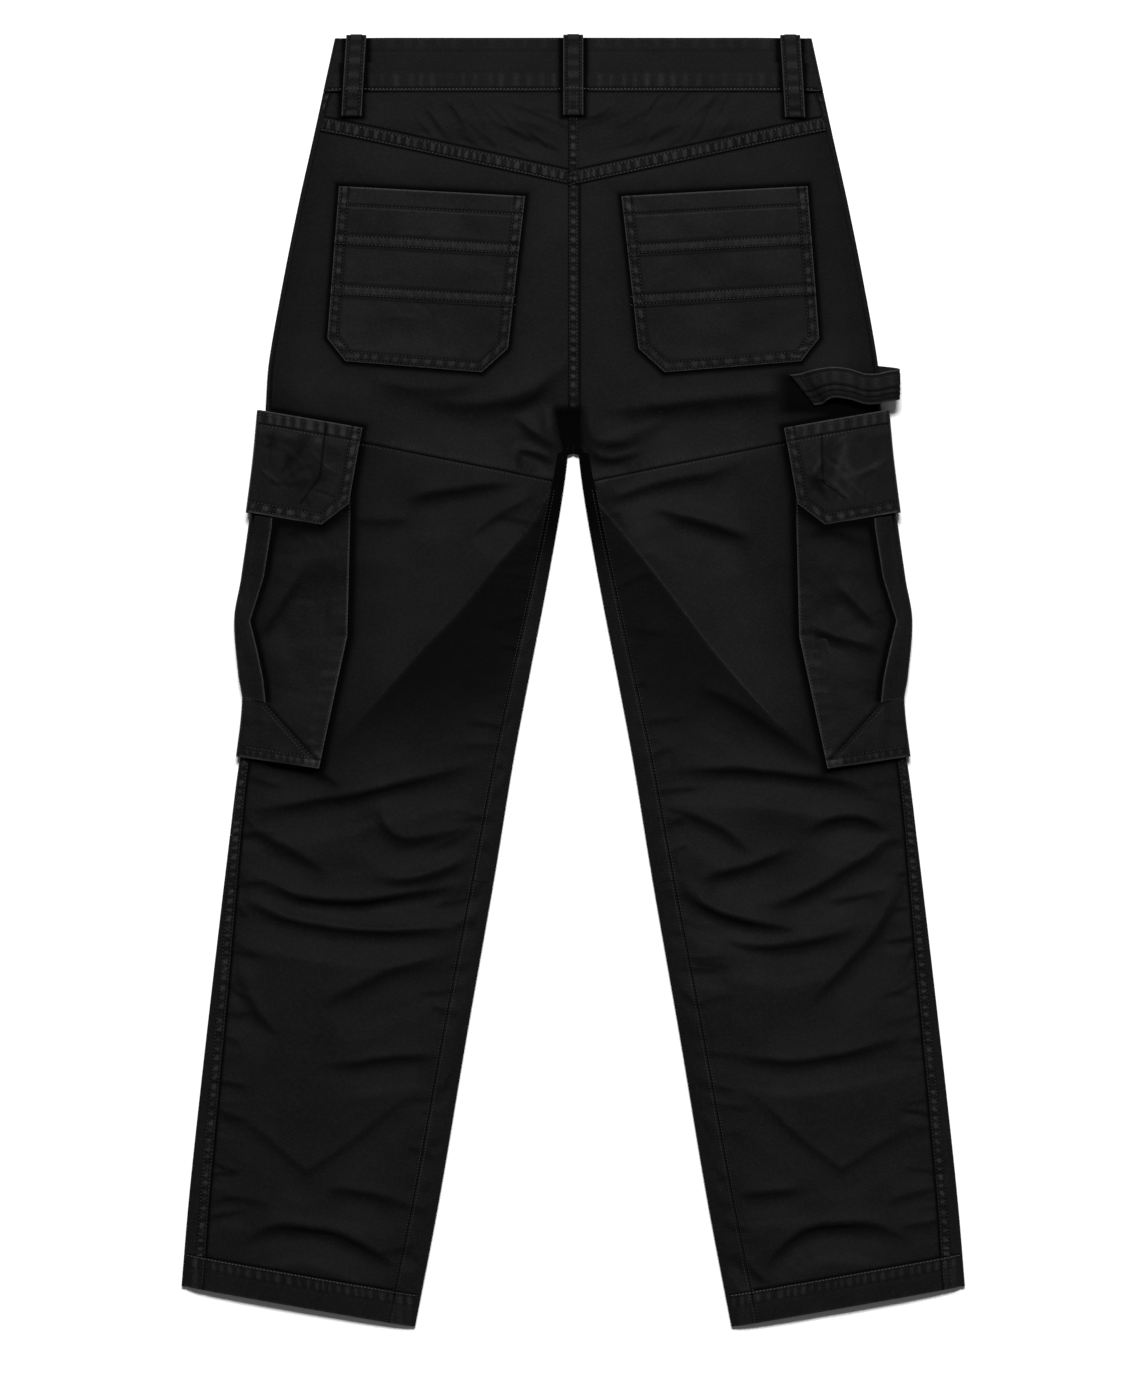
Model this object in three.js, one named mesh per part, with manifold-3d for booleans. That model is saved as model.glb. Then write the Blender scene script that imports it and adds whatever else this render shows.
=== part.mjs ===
// Cargo trousers in black cotton twill, laid flat on their front, with the back facing up.
// Millimetres, +Z up, +Y towards the waist, +X towards the wearer's right side.
// The origin is on the surface they lie on, under the middle of the whole garment.
import * as THREE from "three";
import { mergeVertices } from "three/addons/utils/BufferGeometryUtils.js";
import Module from "manifold-3d";

const wasm = await Module();
wasm.setup();

// Cloth
const clothThick = 1.2;
const doubledThick = 2.2;
const seamHalfGap = 0.18;
const layGap = 0.3;

// Side folds of the flattened tube: how far the bend reaches in, and half its height
const bendReach = 3;
const bendHalf = 2.6;
const bendAngles = [90, 30, -30, -90];
const tightBendAngles = [90, 0, -90];

// The cross seams slope down from the outer edge to the inner one
const waistTop = { outer: 528.5, inner: 528.5 };
const waistSeam = { outer: 484.8, inner: 484.8 };
const yokeStitch = { outer: 464, inner: 419 };
const yokeSeam = { outer: 454, inner: 408 };
const crotch = { outer: 236, inner: 190 };
const thighSeam = { outer: 212, inner: 163 };
const flapLevel = { outer: 112, inner: 64 };
const bagLevel = { outer: -50, inner: -93 };
const kneeSeam = { outer: -125, inner: -166 };
const hemSeam = { outer: -469, inner: -503.5 };
const hemEdge = { outer: -496, inner: -530 };

// Outline of one half, measured from the centre line
const outerEdge = track([
  { y: 528.5, p: 196 },
  { y: 485, p: 205.5 },
  { y: 444, p: 214.5 },
  { y: 395, p: 225.5 },
  { y: 330, p: 238.5 },
  { y: 264, p: 250 },
  { y: 228, p: 252.5 },
  { y: 195, p: 254 },
  { y: 60, p: 262.5 },
  { y: -40, p: 271 },
  { y: -62, p: 274 },
  { y: -88, p: 277.6 },
  { y: -195, p: 290.5 },
  { y: -326, p: 305.5 },
  { y: -425, p: 316 },
  { y: -496, p: 322 },
]);
const innerEdge = track([
  { y: 190, p: 4 },
  { y: 165, p: 7 },
  { y: 133, p: 12 },
  { y: 67, p: 24 },
  { y: 0, p: 37 },
  { y: -64, p: 49 },
  { y: -162, p: 65 },
  { y: -294, p: 88 },
  { y: -425, p: 110 },
  { y: -530, p: 130 },
]);
const bagEdge = track([
  { y: 215, p: 256.5 },
  { y: 198, p: 258 },
  { y: 165, p: 262.3 },
  { y: 130, p: 266.5 },
  { y: 85, p: 273 },
  { y: 52, p: 278.5 },
  { y: 5, p: 275 },
  { y: -15, p: 272 },
  { y: -65, p: 277.5 },
]);
const flapEdge = track([
  { y: 240, p: 258.5 },
  { y: 190, p: 262.5 },
  { y: 130, p: 270 },
]);

// How far the side seam and the inner leg seam lie in from the folded edges
const sideSeamIn = track([
  { y: 485, p: 8 },
  { y: 452, p: 4.5 },
  { y: 200, p: 5 },
  { y: -70, p: 8 },
  { y: -260, p: 14 },
  { y: -470, p: 18 },
]);
const innerSeamIn = track([
  { y: 190, p: 8 },
  { y: 149, p: 10 },
  { y: 17, p: 13.5 },
  { y: -165, p: 17.5 },
  { y: -500, p: 22 },
]);

// How much the back rises between its folded edges
const crownHeight = track([
  { y: 530, p: 3.8 },
  { y: 470, p: 4.6 },
  { y: 420, p: 7.5 },
  { y: 360, p: 10 },
  { y: 220, p: 10 },
  { y: 100, p: 9 },
  { y: -400, p: 8 },
  { y: -470, p: 6.5 },
  { y: -530, p: 4.5 },
]);
const crownSoftness = 22;

// Waistband, its lap at the front, and what is sewn on it
const waistCrown = 1.4;
const waistHalf = 4.2;
const waistLift = 2.4;
const lapHalf = 20;
const waistButton = { radius: 8.5, thick: 2, rim: 1.6, x: 4, y: 507 };
const loopWide = 16.4;
const loopThick = 1.6;
const loopPlaces = [
  { name: "belt_loop_back_left", x: -178, lean: -4, top: 529.8, low: 466 },
  { name: "belt_loop_back_centre", x: 0, lean: 0, top: 530, low: 466.5 },
  { name: "belt_loop_back_right", x: 178, lean: 4, top: 529.8, low: 465 },
];
const frontLoopPlaces = [
  { name: "belt_loop_front_left", x: -110, top: 529.5, low: 466 },
  { name: "belt_loop_front_right", x: 110, top: 529.5, low: 466 },
];

// Shield behind the closed fly, inside the front: its two edges at each height
const flyShield = [
  { y: 483, from: -8, to: 36 },
  { y: 446, from: -8, to: 36 },
  { y: 408, from: -8, to: 36 },
  { y: 350, from: -8, to: 36 },
  { y: 328, from: -8, to: 28 },
  { y: 312, from: -7, to: 12 },
];
const flyShieldClear = 0.6;

// Back pocket outline and its raised bands, as places in one half
const pocketSpots = [
  { p: 192, y: 406.5 },
  { p: 39.5, y: 398 },
  { p: 53.5, y: 273 },
  { p: 75, y: 253.5 },
  { p: 186.5, y: 262.5 },
  { p: 201.5, y: 281.5 },
];
const pocketBands = [
  { p1: 210, y1: 410, p2: 30, y2: 399.5, wide: 13 },
  { p1: 210, y1: 368.5, p2: 30, y2: 358, wide: 9.5 },
  { p1: 210, y1: 327, p2: 30, y2: 316, wide: 9.5 },
];
const bandRise = 0.8;

// Cargo pocket on the side of the leg, in the same way
const bagSpots = [
  { p: 181, y: 187 },
  { p: 185, y: 37 },
  { p: 208, y: -71 },
  { p: 274, y: -60.5 },
  { p: 300, y: -56 },
  { p: 300, y: 205 },
];
const gussetSpots = [
  { p: 182.5, y: 180 },
  { p: 186.5, y: 38 },
  { p: 209.5, y: -68.5 },
  { p: 242, y: -63.5 },
  { p: 242, y: -42 },
  { p: 226, y: -45 },
  { p: 206, y: 40 },
  { p: 203, y: 180 },
];
const pleatSpots = [
  { p: 246.5, y: 134 },
  { p: 247, y: 126 },
  { p: 253.5, y: 86 },
  { p: 265, y: 50 },
  { p: 254, y: 2 },
  { p: 252, y: -17 },
  { p: 268, y: -14 },
  { p: 270, y: 5 },
  { p: 273, y: 50 },
  { p: 268, y: 86 },
  { p: 262, y: 126 },
  { p: 261, y: 136.5 },
];
const flapSpots = [
  { p: 172.5, y: 208 },
  { p: 183.5, y: 145.5 },
  { p: 206, y: 128.5 },
  { p: 268, y: 140 },
  { p: 300, y: 146 },
  { p: 300, y: 231 },
];
const gussetThick = 2.2;
const bagRise = 3.4;
const bagPuff = 0.6;
const pleatThick = 1.2;
const flapRise = 5.5;
const flapThick = 1.5;

// Hammer loop: the middle of the strap, from the back pocket to the side seam
const strapWide = 25;
const strapThick = 1.6;
const strapSpots = [
  { x: 177, y: 239, above: 1.3 },
  { x: 186, y: 240, above: 2.2 },
  { x: 197, y: 243, above: 6.6 },
  { x: 212, y: 245, above: 8.3 },
  { x: 226, y: 243.5, above: 9 },
  { x: 238, y: 240, above: 9.4 },
  { x: 249, y: 240, above: 11.2 },
  { x: 258, y: 242, above: 11.4 },
  { x: 265, y: 243, above: 9.8 },
  { x: 267, y: 244, above: 7.8 },
  { x: 264.5, y: 245, above: 5.6 },
  { x: 257, y: 246, above: 4.2 },
  { x: 249, y: 247, above: 2.1 },
];

// Folds of the back: a wave is a ridge above its line and a trough below it,
// a crease is a ridge that falls away steeply towards the inner leg.
const folds = {
  left: [
    { kind: "wave", from: [122, 227], via: [63, 226], to: [6, 254], width: 16, height: 3 },
    { kind: "wave", from: [167, 245], via: [122, 235], to: [73, 243], width: 16, height: 1.8 },
    { kind: "wave", from: [47, 216], via: [25, 198], to: [6, 191], width: 10, height: 3 },
    { kind: "wave", from: [136, 149], via: [101, 154], to: [48, 161], width: 12, height: 3 },
    { kind: "wave", from: [85, 116], via: [64, 133], to: [27, 156], width: 10, height: 2 },
    { kind: "crease", from: [200, -68], via: [122, 27], to: [23, 158], width: 30, height: 6 },
    { kind: "wave", from: [255, -105], via: [183, -94], to: [88, -71], width: 10, height: 3.4 },
    { kind: "wave", from: [262, -67], via: [224, -72], to: [193, -85], width: 9, height: 2.6 },
    { kind: "wave", from: [160, -103], via: [138, -130], to: [81, -120], width: 9, height: 2.4 },
    { kind: "wave", from: [268, -120], via: [236, -136], to: [203, -157], width: 10, height: 2.8 },
    { kind: "wave", from: [157, -162], via: [117, -161], to: [81, -143], width: 9, height: 3 },
    { kind: "wave", from: [249, -167], via: [187, -180], to: [88, -168], width: 9, height: 4.2 },
    { kind: "wave", from: [272, -180], via: [199, -203], to: [91, -203], width: 9, height: 4 },
    { kind: "wave", from: [206, -267], via: [163, -244], to: [91, -225], width: 13, height: 2.6 },
    { kind: "wave", from: [277, -225], via: [265, -261], to: [242, -290], width: 9, height: 2.2 },
    { kind: "wave", from: [199, -315], via: [147, -310], to: [101, -310], width: 9, height: 2.4 },
    { kind: "wave", from: [275, -372], via: [214, -405], to: [132, -367], width: 10, height: 3 },
    { kind: "wave", from: [199, -417], via: [167, -421], to: [134, -430], width: 10, height: 2 },
    { kind: "wave", from: [265, -458], via: [206, -449], to: [140, -487], width: 10, height: 3.8 },
  ],
  right: [
    { kind: "wave", from: [34, 220], via: [108, 226], to: [178, 234], width: 15, height: 3.4 },
    { kind: "wave", from: [8, 211], via: [22, 194], to: [55, 198], width: 10, height: 2 },
    { kind: "wave", from: [22, 149], via: [62, 157], to: [133, 175], width: 11, height: 2.4 },
    { kind: "wave", from: [67, 139], via: [110, 126], to: [145, 117], width: 11, height: 3.4 },
    { kind: "crease", from: [19, 152], via: [100, 47], to: [206, -69], width: 30, height: 6 },
    { kind: "wave", from: [104, -7], via: [141, -25], to: [203, -69], width: 11, height: 2.6 },
    { kind: "wave", from: [91, -75], via: [166, -74], to: [241, -90], width: 10, height: 3.6 },
    { kind: "wave", from: [196, -123], via: [225, -112], to: [255, -120], width: 10, height: 3.6 },
    { kind: "wave", from: [74, -105], via: [114, -120], to: [140, -138], width: 9, height: 2.2 },
    { kind: "wave", from: [104, -164], via: [137, -153], to: [178, -139], width: 10, height: 3 },
    { kind: "wave", from: [163, -184], via: [211, -162], to: [268, -123], width: 10, height: 3 },
    { kind: "wave", from: [86, -166], via: [117, -190], to: [179, -203], width: 9, height: 4.2 },
    { kind: "wave", from: [127, -215], via: [173, -218], to: [227, -205], width: 10, height: 3 },
    { kind: "wave", from: [199, -261], via: [237, -220], to: [271, -169], width: 11, height: 2.8 },
    { kind: "wave", from: [137, -310], via: [199, -310], to: [268, -294], width: 9, height: 2.6 },
    { kind: "wave", from: [133, -320], via: [217, -420], to: [291, -350], width: 11, height: 3 },
    { kind: "wave", from: [130, -421], via: [157, -420], to: [186, -417], width: 9, height: 2 },
    { kind: "wave", from: [160, -481], via: [202, -446], to: [268, -456], width: 10, height: 3.8 },
  ],
};
const foldSamples = 10;
const foldEdgeFade = 24;

// Grid of the panels
const acrossBack = 8;
const frontStations = [88, 120];
const seatStep = 20;
const legStep = 12.5;
const frontStep = 25;

const twill = { color: 0x1c1c1d, roughness: 0.86, metalness: 0 };
const garment = new THREE.Group();

// A smooth curve through a table's rows, read at any y.
function track(rows) {
  const sorted = [...rows].sort((m, n) => m.y - n.y);
  const last = sorted.length - 1;
  const slopes = sorted.map((row, i) => {
    const before = sorted[Math.max(i - 1, 0)];
    const after = sorted[Math.min(i + 1, last)];
    return (after.p - before.p) / (after.y - before.y);
  });
  return (y) => {
    if (y <= sorted[0].y) return sorted[0].p + slopes[0] * (y - sorted[0].y);
    if (y >= sorted[last].y) return sorted[last].p + slopes[last] * (y - sorted[last].y);
    const i = sorted.findIndex((row) => row.y > y) - 1;
    const span = sorted[i + 1].y - sorted[i].y;
    const t = (y - sorted[i].y) / span;
    const rise = sorted[i + 1].p - sorted[i].p;
    const start = slopes[i] * span - rise;
    const end = rise - slopes[i + 1] * span;
    return sorted[i].p + rise * t + t * (1 - t) * (start * (1 - t) + end * t);
  };
}

function ramp(from, to, value) {
  const t = THREE.MathUtils.clamp((value - from) / (to - from), 0, 1);
  return t * t * (3 - 2 * t);
}

// A fold line as short straight stretches.
function foldLine({ from, via, to }) {
  const curve = new THREE.QuadraticBezierCurve(
    new THREE.Vector2(...from),
    new THREE.Vector2(2 * via[0] - (from[0] + to[0]) / 2, 2 * via[1] - (from[1] + to[1]) / 2),
    new THREE.Vector2(...to),
  );
  return curve.getPoints(foldSamples);
}

// The nearest place on a fold line: how far along it is, and how far the point lies above the line.
function nearestOnFold(line, p, y) {
  let best = { distance: Infinity, along: 0, above: 0 };
  for (let i = 0; i < line.length - 1; i++) {
    const a = line[i];
    const b = line[i + 1];
    const dp = b.x - a.x;
    const dy = b.y - a.y;
    const t = THREE.MathUtils.clamp(((p - a.x) * dp + (y - a.y) * dy) / (dp * dp + dy * dy), 0, 1);
    const offP = p - a.x - dp * t;
    const offY = y - a.y - dy * t;
    const distance = Math.hypot(offP, offY);
    if (distance < best.distance) {
      const above = Math.sign(Math.sign(dp) * (dp * offY - dy * offP)) * distance;
      best = { distance, along: (i + t) / (line.length - 1), above };
    }
  }
  return best;
}

const foldShapes = {
  wave: (q) => q * Math.exp((1 - q * q) / 2),
  crease: (q) => (q > 0 ? Math.exp(-q * q) : Math.exp(1.8 * q)),
};
for (const side of ["left", "right"]) {
  for (const fold of folds[side]) fold.line = foldLine(fold);
}

function foldHeight(side, p, y) {
  let height = 0;
  for (const fold of side < 0 ? folds.left : folds.right) {
    const near = nearestOnFold(fold.line, p, y);
    if (near.distance > 3.5 * fold.width) continue;
    const ends = ramp(0, 0.3, near.along) * ramp(0, 0.3, 1 - near.along);
    height += fold.height * ends * foldShapes[fold.kind](near.above / fold.width);
  }
  return height;
}

// Height of the front cloth over the surface, raised where pieces sewn on the front lie under it.
function frontLift(p, y) {
  const band = waistLift * ramp(436, 462, y) * (1 - ramp(150, 192, p));
  const inBag = ramp(130, 162, p) * ramp(-128, -100, y) * (1 - ramp(232, 262, y));
  const inFlap = ramp(130, 162, p) * ramp(74, 102, y) * (1 - ramp(258, 292, y));
  const bag = (clothThick + layGap) * inBag;
  const flap = (flapThick + layGap) * inFlap;
  return Math.max(band, bag + flap);
}

// Height of the back's outer face over the surface, anywhere in one half.
function backHeight(side, p, y) {
  const fromOuter = outerEdge(y) - p;
  const fromInner = p - innerEdge(Math.min(y, crotch.inner));
  const seat = ramp(172, 245, y);
  const rise = (distance) => 1 - Math.exp(-Math.max(distance - bendReach, 0) / crownSoftness);
  const innerRise = rise(fromInner) * (1 - seat) + seat;
  const crown = crownHeight(y) * rise(fromOuter) * innerRise;
  const fadeOuter = ramp(sideSeamIn(y) - 4, sideSeamIn(y) + foldEdgeFade, fromOuter);
  const fadeInner = Math.max(seat, ramp(innerSeamIn(y) - 8, innerSeamIn(y) + foldEdgeFade, fromInner));
  const seam = -1.2 * Math.exp(-((p / 9) ** 2)) * seat * (1 - ramp(400, 420, y));
  const hollow = -4.5 * Math.exp(-((p / 14) ** 2) - ((y - 208) / 20) ** 2);
  const folded = foldHeight(side, p, y) * fadeOuter * fadeInner;
  return frontLift(p, y) + 2 * bendHalf + crown + folded + seam + hollow;
}

// Rows from one cross seam to the next, about step apart, kept clear of the seams at both ends.
function rowsBetween(above, below, step) {
  const count = Math.max(1, Math.round((above.outer - below.outer) / step));
  const rows = [];
  for (let i = 0; i <= count; i++) {
    const t = i / count;
    const clear = i === 0 ? -seamHalfGap : i === count ? seamHalfGap : 0;
    rows.push({
      outer: THREE.MathUtils.lerp(above.outer, below.outer, t) + clear,
      inner: THREE.MathUtils.lerp(above.inner, below.inner, t) + clear,
    });
  }
  return rows;
}

function joinRows(...lists) {
  return lists.flatMap((list, i) => (i === 0 ? list : list.slice(1)));
}

// The two ends of a row in plan, and its length.
function rowEnds(row) {
  const outer = new THREE.Vector2(outerEdge(row.outer), row.outer);
  const below = row.inner < crotch.inner;
  const inner = new THREE.Vector2(below ? innerEdge(row.inner) : seamHalfGap, row.inner);
  return { outer, inner, below, length: outer.distanceTo(inner) };
}

// A place in plan, a distance in from the row's outer end.
function placeOnRow(ends, distance) {
  return ends.outer.clone().lerp(ends.inner, distance / ends.length);
}

function pair(side, place, outZ, inZ, inPlace = place) {
  return {
    out: new THREE.Vector3(side * place.x, place.y, outZ),
    inn: new THREE.Vector3(side * inPlace.x, inPlace.y, inZ),
  };
}

// A back panel's row: from the side seam to the centre line or the inner leg seam.
function backRow(side, row, lift = 0, thick = clothThick) {
  const ends = rowEnds(row);
  const start = sideSeamIn(row.outer) + seamHalfGap;
  const stop = ends.length - (ends.below ? innerSeamIn(row.inner) + seamHalfGap : 0);
  const points = [];
  for (let j = 0; j <= acrossBack; j++) {
    const place = placeOnRow(ends, THREE.MathUtils.lerp(start, stop, j / acrossBack));
    const z = backHeight(side, place.x, place.y) + lift;
    points.push(pair(side, place, z, z - thick));
  }
  return points;
}

// The bend at a folded edge, from its top to its foot.
function bend(side, centre, away, reach, half, middle, thick, angles = bendAngles) {
  return angles.map((degrees) => {
    const angle = THREE.MathUtils.degToRad(degrees);
    const out = centre.clone().addScaledVector(away, reach * Math.cos(angle));
    const inn = centre.clone().addScaledVector(away, (reach - thick) * Math.cos(angle));
    const z = middle + half * Math.sin(angle);
    return pair(side, out, z, middle + (half - thick) * Math.sin(angle), inn);
  });
}

// The strip of the front that shows on the back: from its side seam over the side fold.
function sideFoldRow(side, row) {
  const ends = rowEnds(row);
  const away = ends.outer.clone().sub(ends.inner).normalize();
  const stripEnd = placeOnRow(ends, sideSeamIn(row.outer) - seamHalfGap);
  const stripZ = backHeight(side, stripEnd.x, stripEnd.y);
  const centre = placeOnRow(ends, bendReach);
  const middle = frontLift(centre.x, centre.y) + bendHalf;
  const turned = bend(side, centre, away, bendReach, bendHalf, middle, clothThick);
  return [pair(side, stripEnd, stripZ, stripZ - clothThick), ...turned];
}

// The front along the surface, from fold to fold, or to the centre line above the crotch.
function frontRow(side, row, outerStart = bendReach + 2 * seamHalfGap) {
  const ends = rowEnds(row);
  const flatEnd = ends.length - (ends.below ? bendReach + 2 * seamHalfGap : 0);
  return [outerStart, ...frontStations, flatEnd].map((distance) => {
    const place = placeOnRow(ends, distance);
    const z = frontLift(place.x, place.y);
    return pair(side, place, z, z + clothThick);
  });
}

// The strip at the inner leg: over the inner fold to the inner leg seam.
function innerFoldRow(side, row) {
  const ends = rowEnds(row);
  const toward = ends.inner.clone().sub(ends.outer).normalize();
  const centre = placeOnRow(ends, ends.length - bendReach);
  const middle = frontLift(centre.x, centre.y) + bendHalf;
  const turned = bend(side, centre, toward, bendReach, bendHalf, middle, clothThick, tightBendAngles);
  const seamPlace = placeOnRow(ends, ends.length - innerSeamIn(row.inner) + seamHalfGap);
  const seamZ = backHeight(side, seamPlace.x, seamPlace.y);
  return [...turned.reverse(), pair(side, seamPlace, seamZ, seamZ - clothThick)];
}

// A closed wall from rows of paired points. Rows of unequal length are joined by a fan.
function wall(rows, closedRound = false) {
  const points = rows.flat();
  const starts = [];
  let total = 0;
  for (const row of rows) {
    starts.push(total);
    total += row.length;
  }
  const faces = [];
  for (let i = 0; i < rows.length - 1; i++) {
    const here = rows[i].length;
    const next = rows[i + 1].length;
    const shared = Math.min(here, next);
    const cells = closedRound ? shared : shared - 1;
    for (let j = 0; j < cells; j++) {
      const k = (j + 1) % shared;
      faces.push([starts[i] + j, starts[i + 1] + j, starts[i + 1] + k]);
      faces.push([starts[i] + j, starts[i + 1] + k, starts[i] + k]);
    }
    for (let j = shared - 1; j < next - 1; j++) {
      faces.push([starts[i] + here - 1, starts[i + 1] + j, starts[i + 1] + j + 1]);
    }
  }
  return solidFromFaces(points, faces);
}

// Closes a face and its copy behind it along all free edges.
function solidFromFaces(points, faces) {
  const count = points.length;
  const directed = new Set(faces.flatMap(([a, b, c]) => [a * count + b, b * count + c, c * count + a]));
  const index = [];
  for (const [a, b, c] of faces) {
    index.push(a, b, c, c + count, b + count, a + count);
    for (const [from, to] of [[a, b], [b, c], [c, a]]) {
      if (!directed.has(to * count + from)) {
        index.push(to, from, from + count, to, from + count, to + count);
      }
    }
  }
  const geometry = new THREE.BufferGeometry();
  const positions = [...points.map((point) => point.out), ...points.map((point) => point.inn)];
  geometry.setFromPoints(positions);
  geometry.setIndex(facingOut(positions, index));
  return geometry;
}

// Turns all triangles round when they face inwards.
function facingOut(positions, index) {
  let volume = 0;
  const across = new THREE.Vector3();
  for (let i = 0; i < index.length; i += 3) {
    across.crossVectors(positions[index[i + 1]], positions[index[i + 2]]);
    volume += positions[index[i]].dot(across);
  }
  if (volume > 0) return index;
  const turned = [];
  for (let i = 0; i < index.length; i += 3) turned.push(index[i], index[i + 2], index[i + 1]);
  return turned;
}

function toManifold(geometry) {
  const vertProperties = new Float32Array(geometry.attributes.position.array);
  const triVerts = new Uint32Array(geometry.index.array);
  return new wasm.Manifold(new wasm.Mesh({ numProp: 3, vertProperties, triVerts }));
}

function fromManifold(solid) {
  const mesh = solid.getMesh();
  const geometry = new THREE.BufferGeometry();
  geometry.setAttribute("position", new THREE.BufferAttribute(new Float32Array(mesh.vertProperties), 3));
  geometry.setIndex(new THREE.BufferAttribute(new Uint32Array(mesh.triVerts), 1));
  return geometry;
}

// An upright block over an outline in plan, for cutting a sewn-on piece to its shape.
function cutter(side, spots) {
  const outline = new THREE.Shape(spots.map((spot) => new THREE.Vector2(side * spot.p, spot.y)));
  const block = new THREE.ExtrudeGeometry(outline, { depth: 120, bevelEnabled: false });
  block.translate(0, 0, -40);
  block.deleteAttribute("normal");
  block.deleteAttribute("uv");
  return toManifold(mergeVertices(block, 1e-4));
}

function cutTo(side, geometry, spots) {
  return toManifold(geometry).intersect(cutter(side, spots));
}

function addPiece(name, geometry) {
  const material = new THREE.MeshStandardMaterial(twill);
  const mesh = new THREE.Mesh(geometry, material);
  mesh.name = name;
  garment.add(mesh);
}

const yokeRows = joinRows(
  rowsBetween(waistSeam, yokeStitch, seatStep),
  rowsBetween(yokeStitch, yokeSeam, seatStep),
);
const seatRows = joinRows(
  rowsBetween(yokeSeam, crotch, seatStep),
  rowsBetween(crotch, thighSeam, legStep),
);
const thighRows = joinRows(
  rowsBetween(thighSeam, flapLevel, legStep + 1.5),
  rowsBetween(flapLevel, bagLevel, seatStep),
);
const backLegRows = joinRows(thighRows, rowsBetween(bagLevel, hemSeam, legStep));
const frontRows = joinRows(
  rowsBetween(waistSeam, yokeSeam, seatStep),
  rowsBetween(yokeSeam, crotch, frontStep),
  rowsBetween(crotch, thighSeam, legStep),
  thighRows,
  rowsBetween(bagLevel, kneeSeam, legStep),
);
const shinRows = rowsBetween(kneeSeam, hemSeam, frontStep);

function makePanels(side, word) {
  const back = (rows) => wall(rows.map((row) => backRow(side, row)));
  const front = (rows, makeRow) => wall(rows.map((row) => makeRow(side, row)));
  addPiece(`yoke_${word}`, back(yokeRows));
  addPiece(`seat_${word}`, back(seatRows));
  addPiece(`back_leg_${word}`, back(backLegRows));
  // The front is one cut panel; each fold is a node of its own, parted where the cloth turns up from the flat
  for (const [name, rows] of [["front", frontRows], ["front_shin", shinRows]]) {
    const legRows = rows.filter((row) => row.inner < crotch.inner);
    addPiece(`${name}_${word}`, front(rows, frontRow));
    addPiece(`${name}_side_fold_${word}`, front(rows, sideFoldRow));
    addPiece(`${name}_inner_fold_${word}`, front(legRows, innerFoldRow));
  }
}

// The turned-up hem: a tube of doubled cloth, one ring round the leg.
function makeHem(side, word) {
  const rows = rowsBetween(hemSeam, hemEdge, 13).map((row) => {
    const ends = rowEnds(row);
    const away = ends.outer.clone().sub(ends.inner).normalize();
    const outerBend = placeOnRow(ends, bendReach);
    const innerBend = placeOnRow(ends, ends.length - bendReach);
    const around = bend(side, outerBend, away, bendReach, bendHalf, bendHalf, clothThick);
    const flat = [0.33, 0.67].map((t) => outerBend.clone().lerp(innerBend, t));
    around.push(...flat.map((place) => pair(side, place, 0, clothThick)));
    const turned = bend(side, innerBend, away.clone().negate(), bendReach, bendHalf, bendHalf, clothThick);
    around.push(...turned.reverse());
    for (let j = 1; j < acrossBack; j++) {
      const place = innerBend.clone().lerp(outerBend, j / acrossBack);
      const z = backHeight(side, place.x, place.y) + 0.5;
      around.push(pair(side, place, z, z - doubledThick));
    }
    return around;
  });
  addPiece(`hem_${word}`, wall(rows, true));
}

// A back pocket: three cloths joined by felled bands, and a turned top edge.
function makeBackPocket(side, word) {
  const rise = layGap + clothThick;
  const base = wall(seatRows.map((row) => backRow(side, row, rise)));
  const raised = wall(seatRows.map((row) => backRow(side, row, rise + bandRise, clothThick + bandRise)));
  let pocket = cutTo(side, base, pocketSpots);
  for (const band of pocketBands) {
    const strip = [
      { p: band.p1, y: band.y1 },
      { p: band.p2, y: band.y2 },
      { p: band.p2, y: band.y2 - band.wide },
      { p: band.p1, y: band.y1 - band.wide },
    ];
    pocket = pocket.add(cutTo(side, raised, pocketSpots).intersect(cutter(side, strip)));
  }
  addPiece(`back_pocket_${word}`, fromManifold(pocket));
}

// A piece that lies round the outer fold of the leg: over the back, round the edge, and under the front.
function roundTheSide(side, row, edge, rise, fall, thick) {
  const ends = rowEnds(row);
  const away = ends.outer.clone().sub(ends.inner).normalize();
  const start = sideSeamIn(row.outer) + seamHalfGap;
  const stop = ends.length - (ends.below ? innerSeamIn(row.inner) + seamHalfGap : 0);
  const points = [];
  for (let j = Math.ceil(acrossBack / 2) + 1; j >= 0; j--) {
    const place = placeOnRow(ends, THREE.MathUtils.lerp(start, stop, j / acrossBack));
    const z = backHeight(side, place.x, place.y) + rise(place.x, place.y) + thick;
    points.push(pair(side, place, z, z - thick));
  }
  const stretch = edge(row.outer) - ends.outer.x;
  const centre = ends.outer.clone().addScaledVector(away, stretch - bendReach);
  const top = backHeight(side, centre.x, centre.y) + rise(centre.x, centre.y) + thick;
  const low = Math.max(frontLift(ends.outer.x, ends.outer.y) - fall, 0);
  points.push(...bend(side, centre, away, bendReach, (top - low) / 2, (top + low) / 2, thick));
  for (const distance of [30, 60, frontStations[0]]) {
    const place = placeOnRow(ends, distance);
    const z = Math.max(frontLift(place.x, place.y) - fall, 0);
    points.push(pair(side, place, z, z + thick));
  }
  return points;
}

const pocketRows = joinRows(
  [{ outer: 260, inner: 215 }, { outer: 248, inner: 202 }, crotch],
  rowsBetween(crotch, thighSeam, legStep),
  backLegRows.slice(0, thighRows.length + 3),
);

function bagTop(p, y) {
  const middle = Math.exp(-(((p - 225) / 30) ** 2) - ((y - 40) / 70) ** 2);
  return bagRise + bagPuff * middle - 1.6 * ramp(250, 262, p);
}

function flapTop(p, y) {
  const seam = 222 - (254 - p) * 0.178;
  return 0.7 + (flapRise - 0.7) * ramp(2, 20, seam - y);
}

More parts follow.
